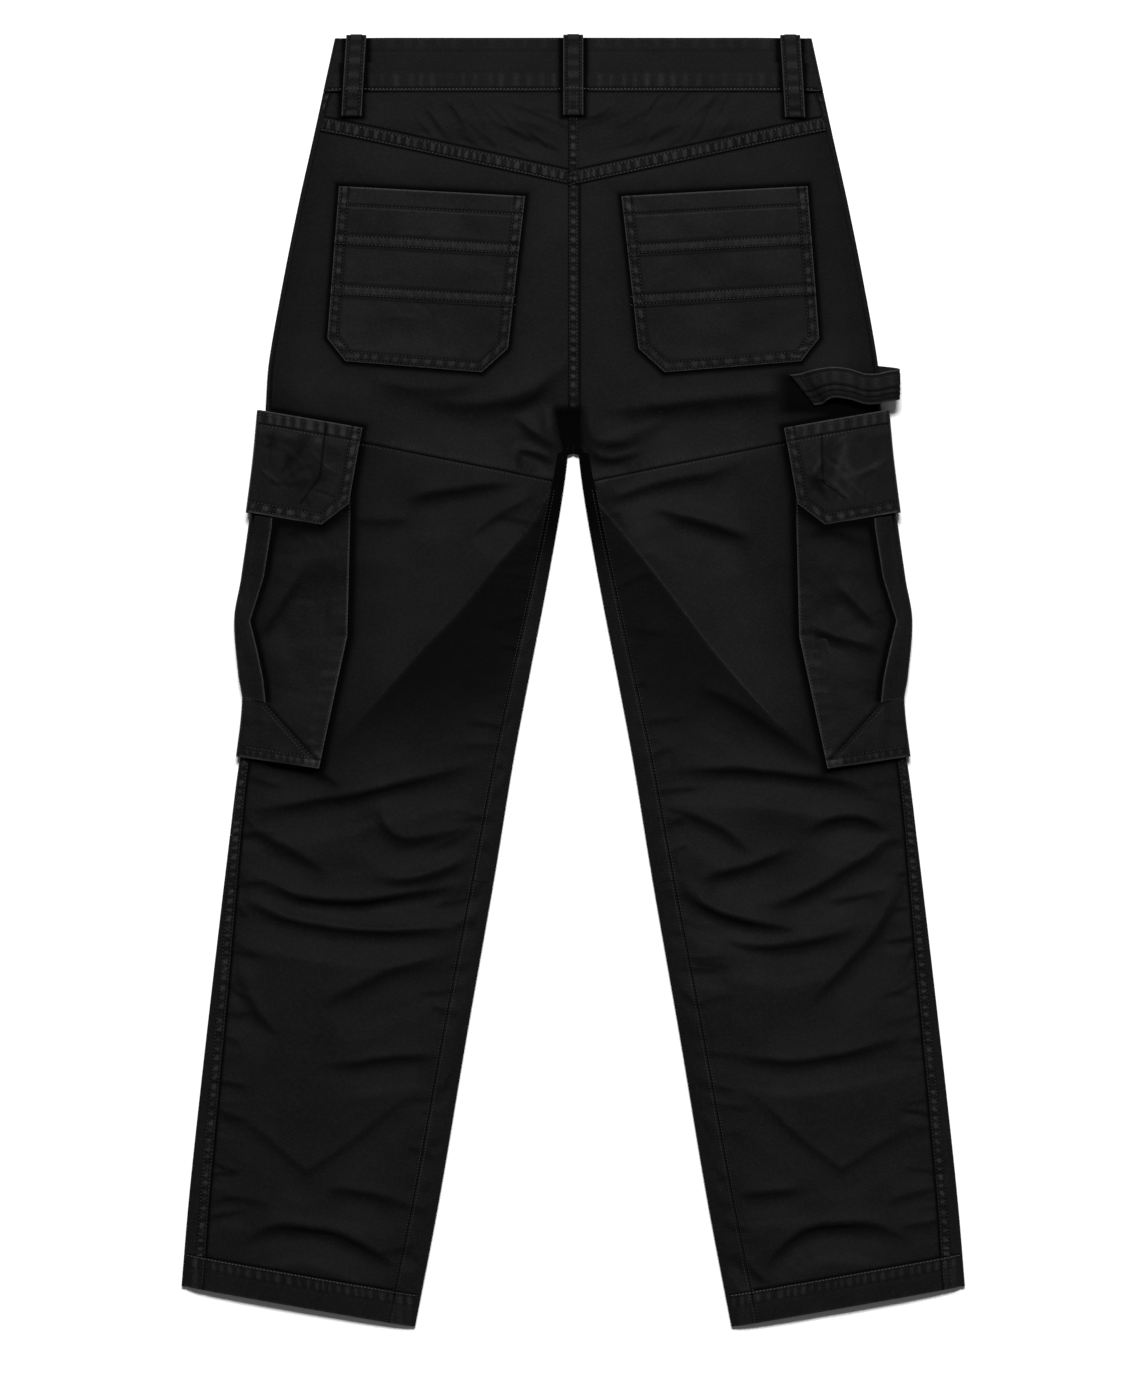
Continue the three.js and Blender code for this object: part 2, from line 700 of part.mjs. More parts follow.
function makeCargoPocket(side, word) {
  const fallBag = clothThick + layGap;
  const bagWall = wall(pocketRows.map((row) => roundTheSide(side, row, bagEdge, bagTop, fallBag, clothThick)));
  addPiece(`cargo_bag_${word}`, fromManifold(cutTo(side, bagWall, bagSpots)));

  const rise = layGap + gussetThick;
  const gusset = wall(backLegRows.slice(0, thighRows.length + 3).map((row) => backRow(side, row, rise, gussetThick)));
  addPiece(`cargo_gusset_${word}`, fromManifold(cutTo(side, gusset, gussetSpots)));

  const onBag = (p, y) => bagTop(p, y) + clothThick + layGap;
  const pleat = wall(pocketRows.map((row) => roundTheSide(side, row, bagEdge, onBag, fallBag, pleatThick).slice(0, 7)));
  addPiece(`cargo_pleat_${word}`, fromManifold(cutTo(side, pleat, pleatSpots)));

  const fallFlap = fallBag + flapThick + layGap;
  const flap = wall(pocketRows.map((row) => roundTheSide(side, row, flapEdge, flapTop, fallFlap, flapThick)));
  addPiece(`cargo_flap_${word}`, fromManifold(cutTo(side, flap, flapSpots)));
}

// The waistband is one long band: its ends lap at the front, the button side lying inside.
function waistLow(x) {
  return waistLift * (1 - ramp(150, 192, Math.abs(x)));
}

function waistHigh(x, edge) {
  const fromEdge = edge - bendReach - Math.abs(x);
  return waistLow(x) + 2 * waistHalf + waistCrown * (1 - Math.exp(-Math.max(fromEdge, 0) / crownSoftness));
}

function waistRow({ outer: y }) {
  const edge = outerEdge(y);
  const under = (x) => (doubledThick + layGap) * (1 - ramp(lapHalf + 4, lapHalf + 28, x));
  const low = (x, rise = 0) => {
    const z = waistLow(x) + rise;
    return pair(1, new THREE.Vector2(x, y), z, z + doubledThick);
  };
  const high = (x) => {
    const z = waistHigh(x, edge);
    return pair(1, new THREE.Vector2(x, y), z, z - doubledThick);
  };
  const endBend = (side) => {
    const centre = new THREE.Vector2(edge - bendReach, y);
    return bend(side, centre, new THREE.Vector2(1, 0), bendReach, waistHalf, waistHalf, doubledThick);
  };
  return [
    ...[-lapHalf, 0, lapHalf, lapHalf + 14, lapHalf + 30].map((x) => low(x, under(x))),
    ...[100, 150, 172].map((x) => low(x)),
    ...endBend(1).reverse(),
    ...[170, 120, 60, 0, -60, -120, -170].map((x) => high(x)),
    ...endBend(-1),
    ...[-172, -150, -100, -lapHalf, 0, lapHalf].map((x) => low(x)),
  ];
}

function topUnderLoop(x, y) {
  const side = x < 0 ? -1 : 1;
  const reach = Math.abs(x);
  return y > waistSeam.outer - 3 ? waistHigh(x, outerEdge(y)) : backHeight(side, reach, y);
}

// A belt loop on the back: a strap over the waistband, slack in the middle.
function makeBackLoop({ name, x, lean, top, low }) {
  const rows = [];
  const stretches = 8;
  for (let i = 0; i <= stretches; i++) {
    const t = i / stretches;
    const y = THREE.MathUtils.lerp(top, low, t);
    const middle = x + lean * t;
    const near = [-loopWide / 2, 0, loopWide / 2].flatMap((dx) => [-5, 0, 5].map((dy) => topUnderLoop(middle + dx, y + dy)));
    const z = Math.max(...near) + layGap + 1.1 * Math.sin(Math.PI * t) ** 2;
    rows.push([-0.5, 0.5].map((half) => {
      const place = new THREE.Vector2(middle + half * loopWide, y);
      return pair(1, place, z + loopThick, z);
    }));
  }
  addPiece(name, wall(rows));
}

function makeFrontLoop({ name, x, top, low }) {
  const loop = new THREE.BoxGeometry(loopWide, top - low, loopThick);
  loop.translate(x, (top + low) / 2, loopThick / 2);
  addPiece(name, loop);
}

function makeFlyShield() {
  const rows = flyShield.map(({ y, from, to }) => [from, (from + to) / 2, to].map((x) => {
    const z = frontLift(Math.abs(x), y) + clothThick + flyShieldClear;
    return pair(1, new THREE.Vector2(x, y), z + clothThick, z);
  }));
  addPiece("fly_shield", wall(rows));
}

// A flat sew-through button with a raised rim, facing the surface.
function makeWaistButton() {
  const { radius, thick, rim, x, y } = waistButton;
  const profile = [
    new THREE.Vector2(0, 0.5),
    new THREE.Vector2(radius - rim - 0.6, 0.5),
    new THREE.Vector2(radius - rim, 0),
    new THREE.Vector2(radius - 0.5, 0),
    new THREE.Vector2(radius, 0.6),
    new THREE.Vector2(radius - 0.4, thick),
    new THREE.Vector2(0, thick),
  ];
  const button = new THREE.LatheGeometry(profile, 20);
  button.rotateX(Math.PI / 2);
  button.translate(x, y, 0);
  addPiece("waist_button", button);
}

// The hammer loop: a strap of doubled cloth that stands off the thigh and turns back under itself.
function makeHammerLoop() {
  const spots = strapSpots.map(({ x, y, above }) => new THREE.Vector3(x, y, backHeight(1, x, y) + above));
  const path = new THREE.CatmullRomCurve3(spots, false, "centripetal");
  const stretches = 26;
  const rows = [];
  for (let i = 0; i <= stretches; i++) {
    const spot = path.getPointAt(i / stretches);
    const along = path.getTangentAt(i / stretches);
    const up = new THREE.Vector3(-along.z, 0, along.x).normalize().multiplyScalar(strapThick / 2);
    rows.push([-0.5, 0.5].map((half) => {
      const place = spot.clone().add(new THREE.Vector3(0, half * strapWide, 0));
      return { out: place.clone().add(up), inn: place.clone().sub(up) };
    }));
  }
  addPiece("hammer_loop", wall(rows));
}

addPiece("waistband", wall(rowsBetween(waistTop, waistSeam, 22).map(waistRow)));
loopPlaces.forEach(makeBackLoop);
frontLoopPlaces.forEach(makeFrontLoop);
makeFlyShield();
makeWaistButton();
for (const [side, word] of [[-1, "left"], [1, "right"]]) {
  makePanels(side, word);
  makeHem(side, word);
  makeBackPocket(side, word);
  makeCargoPocket(side, word);
}
makeHammerLoop();

export default garment;
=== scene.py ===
import bpy
import math
import numpy as np
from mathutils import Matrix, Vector
from mathutils.bvhtree import BVHTree


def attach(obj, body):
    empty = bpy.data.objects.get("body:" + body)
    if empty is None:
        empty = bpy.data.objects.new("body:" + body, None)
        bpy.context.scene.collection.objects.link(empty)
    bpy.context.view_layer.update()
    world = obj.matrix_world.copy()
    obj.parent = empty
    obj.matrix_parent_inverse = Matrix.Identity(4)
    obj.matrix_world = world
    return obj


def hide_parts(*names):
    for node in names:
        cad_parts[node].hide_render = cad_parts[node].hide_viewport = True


# Cargo trousers of black cotton twill, lying flat on their front with the back showing.
# All shapes are worked out in millimetres and turned to metres when a mesh is made.
# p is the distance from the middle line, y runs up towards the waist, z is the height over the surface.
# side is 1 for the wearer's right, which is at +x, and -1 for the left.

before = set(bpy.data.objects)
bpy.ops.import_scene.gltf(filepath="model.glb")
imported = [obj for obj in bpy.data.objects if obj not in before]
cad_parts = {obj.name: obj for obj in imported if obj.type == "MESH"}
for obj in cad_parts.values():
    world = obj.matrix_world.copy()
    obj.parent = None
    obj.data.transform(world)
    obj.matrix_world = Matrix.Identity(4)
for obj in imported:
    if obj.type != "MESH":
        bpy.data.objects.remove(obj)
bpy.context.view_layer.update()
mm = 0.001
words = {-1: "left", 1: "right"}

picture = {"wide": 1145, "high": 1374, "mmEachPixel": 0.82, "middleX": 573.25, "zeroY": 682, "lens": 120}


def placeInPicture(pixelX, pixelY):  # the garment's x and y, in mm, of a place in the picture
    scale = picture["mmEachPixel"]
    return (pixelX - picture["middleX"]) * scale, (picture["zeroY"] - pixelY) * scale


def makeCamera():
    lift = 12  # the garment's middle height
    x, y = placeInPicture(picture["wide"] / 2, picture["high"] / 2)
    halfHigh = picture["high"] * picture["mmEachPixel"] / 2
    data = bpy.data.cameras.new("camera")
    data.lens = picture["lens"]
    data.clip_end = 20
    away = halfHigh / (data.sensor_width / 2 / data.lens)
    camera = bpy.data.objects.new("camera", data)
    camera.location = (x * mm, y * mm, (away + lift) * mm)
    bpy.context.scene.collection.objects.link(camera)
    bpy.context.scene.camera = camera


makeCamera()
print("camera made")


# Curves, ramps and unevenness

def track(*rows):  # a smooth curve through (y, value) rows, read at any y
    table = np.array(sorted(rows), float)
    ys, values = table[:, 0], table[:, 1]
    last = len(ys) - 1
    number = np.arange(last + 1)
    before, after = np.maximum(number - 1, 0), np.minimum(number + 1, last)
    slopes = (values[after] - values[before]) / (ys[after] - ys[before])

    def read(y):
        y = np.asarray(y, float)
        i = np.clip(np.searchsorted(ys, y, side="right") - 1, 0, last - 1)
        span = ys[i + 1] - ys[i]
        t = np.clip((y - ys[i]) / span, 0, 1)
        rise = values[i + 1] - values[i]
        start = slopes[i] * span - rise
        end = rise - slopes[i + 1] * span
        inside = values[i] + rise * t + t * (1 - t) * (start * (1 - t) + end * t)
        below, above = np.minimum(y - ys[0], 0), np.maximum(y - ys[last], 0)
        return inside + slopes[0] * below + slopes[last] * above
    return read


def ramp(start, end, value):
    t = np.clip((np.asarray(value, float) - start) / (end - start), 0, 1)
    return t * t * (3 - 2 * t)


def hump(value, width):
    return np.exp(-(np.asarray(value, float) / width) ** 2)


def ribble(along, pitch, seed):  # an uneven ripple between -1 and 1, about one wave each pitch
    count = 1200
    random = np.random.default_rng(seed)
    knots = np.cumsum(random.uniform(0.3, 0.7, count)) * pitch
    knots -= knots[count // 2]
    heights = random.uniform(0.3, 1, count) * np.where(np.arange(count) % 2, 1, -1)
    along = np.asarray(along, float)
    i = np.clip(np.searchsorted(knots, along) - 1, 0, count - 2)
    t = ramp(0, 1, (along - knots[i]) / (knots[i + 1] - knots[i]))
    return heights[i] + (heights[i + 1] - heights[i]) * t


def puckers(along, pitch, seed):  # rounded lumps between 0 and 1 with narrow gaps
    return np.clip(0.62 + 0.75 * ribble(along, pitch, seed), 0, 1)


def patchy(x, y, size, seed):  # smooth noise between -1 and 1 with lumps of about that size
    cells = 128
    values = np.random.default_rng(seed).uniform(-1, 1, (cells, cells))
    u, v = np.asarray(x, float) / size, np.asarray(y, float) / size
    i, j = np.floor(u).astype(int), np.floor(v).astype(int)
    s, t = ramp(0, 1, u - i), ramp(0, 1, v - j)
    corner = [values[(i + a) % cells, (j + b) % cells] for a in (0, 1) for b in (0, 1)]
    low = corner[0] + (corner[1] - corner[0]) * t
    high = corner[2] + (corner[3] - corner[2]) * t
    return low + (high - low) * s


# The garment's cut, as it lies

cloth = {"thick": 1.2, "doubled": 2.2, "halfGap": 0.18, "layGap": 0.3, "bendReach": 3, "bendHalf": 2.6}

# Heights of the cross seams: at the outer fold, at the inner fold or middle line
levels = {
    "waistTop": (528.5, 528.5), "waistSeam": (484.8, 484.8), "yokeStitch": (464, 419), "yokeSeam": (454, 408),
    "crotch": (236, 190), "thighSeam": (212, 163), "flap": (112, 64), "bag": (-50, -93),
    "kneeSeam": (-125, -166), "hemSeam": (-469, -503.5), "hemEdge": (-496, -530),
}
outerEdge = track((528.5, 196), (485, 205.5), (444, 214.5), (395, 225.5), (330, 238.5), (264, 250), (228, 252.5),
                  (195, 254), (60, 262.5), (-40, 271), (-62, 274), (-88, 277.6), (-195, 290.5), (-326, 305.5),
                  (-425, 316), (-496, 322))
innerEdge = track((190, 4), (165, 7), (133, 12), (67, 24), (0, 37), (-64, 49), (-162, 65), (-294, 88),
                  (-425, 110), (-530, 130))
bagEdge = track((215, 256.5), (198, 258), (165, 262.3), (130, 266.5), (85, 273), (52, 278.5), (5, 275),
                (-15, 272), (-65, 277.5))
flapEdge = track((240, 258.5), (190, 262.5), (130, 270))
sideSeamIn = track((485, 8), (452, 4.5), (200, 5), (-70, 8), (-260, 14), (-470, 18))
innerSeamIn = track((190, 8), (149, 10), (17, 13.5), (-165, 17.5), (-500, 22))
crownHeight = track((530, 3.8), (470, 4.6), (420, 7.5), (360, 10), (220, 10), (100, 9), (-400, 8), (-470, 6.5),
                    (-530, 4.5))
crownSoftness = 22

# Folds of the back: from (p, y), via, to, width, height, and the kind where it isn't a wave.
# A wave is a ridge above its line and a trough below it, and a corner is a wave along two straight lines.
mainFolds = {
    -1: [
        ((122, 227), (63, 226), (6, 254), 16, 3), ((167, 245), (122, 235), (73, 243), 16, 1.8),
        ((47, 216), (25, 198), (6, 191), 10, 3), ((136, 149), (101, 154), (48, 161), 12, 3),
        ((85, 116), (64, 133), (27, 156), 10, 2),
        ((255, -105), (183, -94), (88, -71), 10, 3.4), ((262, -67), (224, -72), (193, -85), 9, 2.6),
        ((160, -103), (138, -130), (81, -120), 9, 2.4), ((268, -120), (236, -136), (203, -157), 10, 2.8),
        ((157, -162), (117, -161), (81, -143), 9, 3), ((249, -167), (187, -180), (88, -168), 9, 4.2),
        ((272, -180), (199, -203), (91, -203), 9, 4), ((206, -267), (163, -244), (91, -225), 13, 2.6),
        ((277, -225), (265, -261), (242, -290), 9, 2.2), ((199, -315), (147, -310), (101, -310), 9, 2.4),
        ((283, -351), (217.5, -402), (120, -333), 8, 0.9, "corner"), ((199, -417), (167, -421), (134, -430), 10, 2),
        ((265, -458), (206, -449), (140, -487), 10, 3.8),
    ],
    1: [
        ((34, 220), (108, 226), (178, 234), 15, 3.4), ((8, 211), (22, 194), (55, 198), 10, 2),
        ((22, 149), (62, 157), (133, 175), 11, 2.4), ((67, 139), (110, 126), (145, 117), 11, 3.4),
        ((104, -7), (141, -25), (203, -69), 11, 2.6),
        ((91, -75), (166, -74), (241, -90), 10, 3.6), ((196, -123), (225, -112), (255, -120), 10, 3.6),
        ((74, -105), (114, -120), (140, -138), 9, 2.2), ((104, -164), (137, -153), (178, -139), 10, 3),
        ((163, -184), (211, -162), (268, -123), 10, 3), ((86, -166), (117, -190), (179, -203), 9, 4.2),
        ((127, -215), (173, -218), (227, -205), 10, 3), ((199, -261), (237, -220), (271, -169), 11, 2.8),
        ((137, -310), (199, -310), (268, -294), 9, 2.6), ((138, -335), (218.5, -400), (287, -361), 8, 0.9, "corner"),
        ((130, -421), (157, -420), (186, -417), 9, 2), ((160, -481), (202, -446), (268, -456), 10, 3.8),
    ],
}
# Smaller folds that only the cloth itself shows
smallFolds = {
    -1: [
        ((58, 227), (39, 230), (21, 243), 8, 2.4), ((46, 189), (33, 187), (16, 180), 6, 3.2),
        ((183, 133), (160, 131), (134, 133), 11, 1.8),
        ((118, -141), (97, -131), (81, -120), 7, 1.2), ((118, -185), (101, -180), (88, -167), 7, 1.6),
        ((295, -420), (273, -425), (249, -431), 8, 1.4),
    ],
    1: [
        ((14, 190), (28, 181), (54, 187), 6.5, 3.2), ((12, 195), (45, 203), (76, 214), 5, 1.4, "ridge"),
        ((209, -180), (232, -177), (256, -172), 7, 1.6), ((97, -230), (112, -233), (127, -234), 7, 1.4),
        ((258, -430), (278, -421), (299, -417), 8, 1.5), ((140, -471), (148, -484), (161, -494), 6, 2),
    ],
}
foldSamples = 10


def foldLine(spots, kind):
    start, middle, end = (np.array(spot, float) for spot in spots)
    t = np.linspace(-0.12, 1.12, foldSamples + 1)[:, None]
    if kind == "corner":
        return middle + (start - middle) * np.maximum(1 - 2 * t, 0) + (end - middle) * np.maximum(2 * t - 1, 0)
    bow = 2 * middle - (start + end) / 2
    return (1 - t) ** 2 * start + 2 * t * (1 - t) * bow + t * t * end


def waveShape(q):  # a rounded crest just above the line, steep at the line and easing out below it
    over, under = np.maximum(q, 0) / 0.4, np.maximum(-q, 0) / 0.9
    return 1.3 * over / (1 + over * over) * np.exp(-q * q / 7) - under * np.exp(1 - under)


def creaseShape(q):  # a sharp edge: a soft slope above it and a flat one falling away below it
    over, under = np.maximum(q, 0), np.maximum(-q, 0)
    return np.where(q > 0, np.exp(-0.8 * over * over), np.exp(-0.9 * under) - 0.35 * under * np.exp(-0.5 * under))


foldShapes = {"wave": waveShape, "corner": waveShape, "ridge": lambda q: np.exp(-q * q)}


def foldRelief(folds, p, y, waver=0.0):
    height = np.zeros(np.shape(p))
    if waver:  # the lines wander a little, as in cloth that was handled
        p, y = p + waver * patchy(p, y, 40, 3), y + waver * patchy(p, y, 36, 4) + 0.25 * waver * patchy(p, y, 11, 5)
    for fold in folds:
        wide, high = fold[3:5]
        kind = fold[5] if len(fold) > 5 else "wave"
        line = foldLine(fold[:3], kind)
        low, top = line.min(0) - 3.5 * wide, line.max(0) + 3.5 * wide
        near = (p > low[0]) & (p < top[0]) & (y > low[1]) & (y < top[1])
        if not near.any():
            continue
        nearP, nearY = p[near], y[near]
        best, along, above = np.full(nearP.shape, np.inf), np.zeros(nearP.shape), np.zeros(nearP.shape)
        for i, (a, b) in enumerate(zip(line, line[1:])):
            dp, dy = b - a
            t = np.clip(((nearP - a[0]) * dp + (nearY - a[1]) * dy) / (dp * dp + dy * dy), 0, 1)
            offP, offY = nearP - a[0] - dp * t, nearY - a[1] - dy * t
            distance = np.hypot(offP, offY)
            closer = distance < best
            best = np.where(closer, distance, best)
            along = np.where(closer, (i + t) / foldSamples, along)
            above = np.where(closer, np.sign(np.sign(dp) * (dp * offY - dy * offP)) * distance, above)
        ends = ramp(0, 0.35, along) * ramp(0, 0.35, 1 - along)
        q = above / wide
        height[near] += high * ends * foldShapes[kind](q) * (1 - ramp(2.2, 3.4, np.abs(q)))
    return height


def seamPinches(side):  # short folds that start at the inner leg and side seams, all the way down
    random = np.random.default_rng(40 + side)
    made = []
    for top, low, edge, inward, offset, reach, turn, high in (
            (150, -480, innerEdge, 1, (4, 9), 46, (-16, 18), 1.2),
            (-85, -470, outerEdge, -1, (5, 9), 42, (-22, 10), 1.3)):
        for y in np.arange(top, low, -17.0):
            y += random.uniform(-8, 8)
            start = float(edge(y)) + inward * random.uniform(*offset)
            long, tilt = inward * random.uniform(8, reach), random.uniform(*turn)
            spots = [(start, y), (start + long / 2, y + tilt * 0.7), (start + long, y + tilt)][::inward]
            made.append((*spots, random.uniform(2.6, 6.5), random.uniform(0.35, high)))
    return made


pinches = {side: seamPinches(side) for side in words}


def crumple(seed, count, low, high, long, wide, deep):  # short sharp creases that cross each other in an area
    random = np.random.default_rng(seed)
    made = []
    for _ in range(count):
        p, y = random.uniform(low, high)
        reach, turn = random.uniform(*long) / 2, random.uniform(0, math.pi)
        dp, dy = reach * math.cos(turn), reach * math.sin(turn)
        bow = random.uniform(-0.2, 0.2)
        spots = (p - dp, y - dy), (p - dy * bow, y + dp * bow), (p + dp, y + dy)
        made.append((*spots, random.uniform(*wide), random.choice((-1, 1)) * random.uniform(*deep), "ridge"))
    return made


def dragLines(seed, count, low, high, long):  # fine creases that fan out from a pulled spot at the middle line
    random = np.random.default_rng(seed)
    made = []
    for _ in range(count):
        p, y = random.uniform(low, high)
        reach = random.uniform(0.4, 1) * long / 2
        turn = math.radians(12 + 50 * (p / 125) + random.uniform(-16, 16))
        dp, dy = -reach * math.cos(turn), -reach * math.sin(turn)
        spots = (p - dp, y - dy), (p, y + random.uniform(-2, 2)), (p + dp, y + dy)
        made.append((*spots, random.uniform(2.4, 5.5), random.uniform(0.15, 0.6)))
    return made


def frontLift(p, y):  # the front cloth's height where pieces sewn on the front lie under it
    band = 2.4 * ramp(436, 462, y) * (1 - ramp(150, 192, p))
    inBag = ramp(130, 162, p) * ramp(-128, -100, y) * (1 - ramp(232, 262, y))
    inFlap = ramp(130, 162, p) * ramp(74, 102, y) * (1 - ramp(258, 292, y))
    return np.maximum(band, 1.5 * inBag + 1.8 * inFlap)


# The dark hollow at the crotch: its edge's p at each y
hollowEdge = {-1: track((240, 15), (224, 15), (205, 12), (190, 8), (180, 7)), 1: track((240, 6.5), (180, 6.5))}


def inHollow(side, p, y):
    edge = hollowEdge[side](y)
    return (1 - ramp(edge - 1.5, edge + 2, p)) * (1 - ramp(216, 228, y))


# The sharp ridge that runs down each leg from the crotch: its p at each y
legRidge = {
    -1: track((170, 12), (159, 18), (130, 34), (97, 62.5), (53, 98.5), (24, 126.5), (-30, 174), (-60, 200)),
    1: track((165, 8), (149, 18.7), (128, 36), (92, 64.5), (51, 95.7), (26, 114.6), (-29, 163), (-66, 204)),
}


def ridgeHeight(side, p, y):
    off = (p - legRidge[side](y)) * 0.72
    return 7.5 * creaseShape(off / 30) * ramp(-80, -10, y) * (1 - ramp(138, 172, y)) * (1 - ramp(50, 95, np.abs(off)))


def surface(side, p, y):  # the back's outer face, anywhere in one half
    reach = np.abs(p)
    fromOuter = outerEdge(y) - reach
    fromInner = reach - innerEdge(np.minimum(y, levels["crotch"][1]))
    seat = ramp(172, 245, y)
    rise = lambda distance: 1 - np.exp(-np.maximum(distance - cloth["bendReach"], 0) / crownSoftness)
    crown = crownHeight(y) * rise(fromOuter) * (rise(fromInner) * (1 - seat) + seat)
    fadeOuter = ramp(sideSeamIn(y) - 4, sideSeamIn(y) + 24, fromOuter)
    fadeInner = np.maximum(seat, ramp(innerSeamIn(y) - 8, innerSeamIn(y) + 24, fromInner))
    folded = 1.4 * foldRelief(mainFolds[side], reach, y, 2) + ridgeHeight(side, reach, y)
    folded = folded * fadeOuter * fadeInner
    nearEdge = ramp(2, 12, fromOuter) * np.maximum(seat, ramp(2, 12, fromInner))
    small = foldRelief(smallFolds[side] + pinches[side], reach, y, 1.5)
    small += 0.5 * patchy(reach, y, 34, 7 + side) + 0.22 * patchy(reach, y, 13, 9 + side)
    seam = -1.2 * hump(reach, 9) * seat * (1 - ramp(400, 420, y))
    hollow = -8.5 * inHollow(side, reach, y)
    hollow += 2.6 * hump(reach - hollowEdge[side](y) - 7, 5.5) * hump(y - 206, 15)  # it swells beside it
    height = frontLift(reach, y) + 2 * cloth["bendHalf"] + crown + folded + small * nearEdge + seam + hollow
    return np.maximum(height, frontLift(reach, y) + 3.4)


# Making meshes

visible = []  # pieces that stitches lie on


def sided(name, side):
    return f"{name}_{words[side]}"


def makeObject(name, points, faces, wearAndPaintedShade, material):
    used, corners = np.unique(np.concatenate([np.ravel(face) for face in faces]), return_inverse=True)
    sizes = np.concatenate([np.full(len(face), face.shape[1]) for face in faces])
    mesh = bpy.data.meshes.new(name)
    mesh.vertices.add(len(used))
    mesh.vertices.foreach_set("co", (points[used] * mm).astype(np.float32).ravel())
    mesh.loops.add(len(corners))
    mesh.loops.foreach_set("vertex_index", corners.astype(np.int32).ravel())
    mesh.polygons.add(len(sizes))
    starts = np.concatenate([[0], np.cumsum(sizes)[:-1]]).astype(np.int32)
    mesh.polygons.foreach_set("loop_start", starts)
    mesh.update(calc_edges=True)
    mesh.validate()
    mesh.shade_smooth()
    worn = mesh.attributes.new("wearAndPaintedShade", "FLOAT", "POINT")
    worn.data.foreach_set("value", wearAndPaintedShade[used].astype(np.float32))
    thing = bpy.data.objects.new(name + "_made", mesh)
    thing.data.materials.append(material)
    bpy.context.scene.collection.objects.link(thing)
    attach(thing, "root")
    return thing


def everyFew(count, few):
    return np.unique(np.append(np.arange(0, count, few), count - 1))


def fineShell(name, outer, inner, wearAndPaintedShade, few=3):  # the unseen inner side has fewer, larger faces
    rows, across = outer.shape[:2]
    keptRows, keptAcross = everyFew(rows, few), everyFew(across, few)
    coarse = inner[np.ix_(keptRows, keptAcross)].copy()
    for i in range(len(keptRows)):
        top, bottom = keptRows[max(i - 1, 0)], keptRows[min(i + 1, len(keptRows) - 1)] + 1
        strip = inner[top:bottom, :, 2].min(axis=0)
        for j in range(len(keptAcross)):
            left, right = keptAcross[max(j - 1, 0)], keptAcross[min(j + 1, len(keptAcross) - 1)] + 1
            coarse[i, j, 2] = strip[left:right].min()
    total = rows * across
    number = np.arange(total).reshape(rows, across)
    small = np.arange(coarse.shape[0] * coarse.shape[1]).reshape(coarse.shape[:2]) + total
    over = np.stack([number[:-1, :-1], number[1:, :-1], number[1:, 1:], number[:-1, 1:]], axis=-1).reshape(-1, 4)
    under = np.stack([small[:-1, 1:], small[1:, 1:], small[1:, :-1], small[:-1, :-1]], axis=-1).reshape(-1, 4)
    rims = {}
    for line, ends, kept, forward in ((number[0], small[0], keptAcross, True),
                                      (number[-1], small[-1], keptAcross, False),
                                      (number[:, 0], small[:, 0], keptRows, False),
                                      (number[:, -1], small[:, -1], keptRows, True)):
        for k, (start, stop) in enumerate(zip(kept, kept[1:])):
            face = list(line[start:stop + 1]) + [ends[k + 1], ends[k]]
            rims.setdefault(len(face), []).append(face if forward else face[::-1])
    faces = [over, under] + [np.array(rim) for rim in rims.values()]
    points = np.concatenate([outer.reshape(-1, 3), coarse.reshape(-1, 3)])
    a, b, c = (points[over[:, k]] for k in range(3))
    inside = inner.reshape(-1, 3)[over[:, 0]]
    if (np.cross(b - a, c - b) * (a - inside)).sum() < 0:
        faces = [face[:, ::-1] for face in faces]
    worn = np.concatenate([np.ravel(wearAndPaintedShade), np.zeros(len(points) - total)])
    return makeObject(name, points, faces, worn, twill)


def shell(name, outer, inner, wearAndPaintedShade, keep=None, closedRound=False):  # a wall of cloth between two grids
    if keep is None and not closedRound:
        return fineShell(name, outer, inner, wearAndPaintedShade)
    rows, columns = outer.shape[:2]
    number = np.arange(rows * columns).reshape(rows, columns)
    if closedRound:
        number = np.concatenate([number, number[:, :1]], axis=1)
    quads = np.stack([number[:-1, :-1], number[1:, :-1], number[1:, 1:], number[:-1, 1:]], axis=-1)
    quads = quads[keep] if keep is not None else quads.reshape(-1, 4)
    points = np.concatenate([outer.reshape(-1, 3), inner.reshape(-1, 3)])
    total = rows * columns
    ahead = np.stack([quads, np.roll(quads, -1, axis=1)], axis=-1).reshape(-1, 2)
    code = ahead[:, 0] * total + ahead[:, 1]
    free = ahead[~np.isin(ahead[:, 1] * total + ahead[:, 0], code)]
    rim = np.stack([free[:, 1], free[:, 0], free[:, 0] + total, free[:, 1] + total], axis=1)
    faces = np.concatenate([quads, quads[:, ::-1] + total, rim])
    a, b, c, d = (points[faces[:, k]] for k in range(4))
    volume = (np.cross(b - a, c - a) * (a + b + c)).sum() + (np.cross(c - a, d - a) * (a + c + d)).sum()
    if volume < 0:
        faces = faces[:, ::-1]
    worn = np.concatenate([np.ravel(wearAndPaintedShade), np.zeros(total)])
    return makeObject(name, points, [faces], worn, twill)


def clothPiece(name, outer, inner, wearAndPaintedShade, flat, restsOn, nodes=None, area=None, held="laid", stitched=True, **form):
    made = shell(name, outer, inner, np.clip(wearAndPaintedShade, -1, 1), **form)
    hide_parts(*(nodes or [name]))
    if stitched:
        visible.append(made)


def bendPart(turnP, y, away, half, middle, thick, angles):  # the bend at a folded edge, as part of a piece
    turn, reach = np.radians(angles)[None, :], cloth["bendReach"]
    half = np.broadcast_to(half, middle.shape)[:, None]
    p, insideP = (turnP[:, None] + away * wide * np.cos(turn) for wide in (reach, reach - thick))
    z, insideZ = (middle[:, None] + tall * np.sin(turn) for tall in (half, half - thick))
    return p, np.broadcast_to(y[:, None], p.shape), z, insideP, insideZ, np.zeros(p.shape)


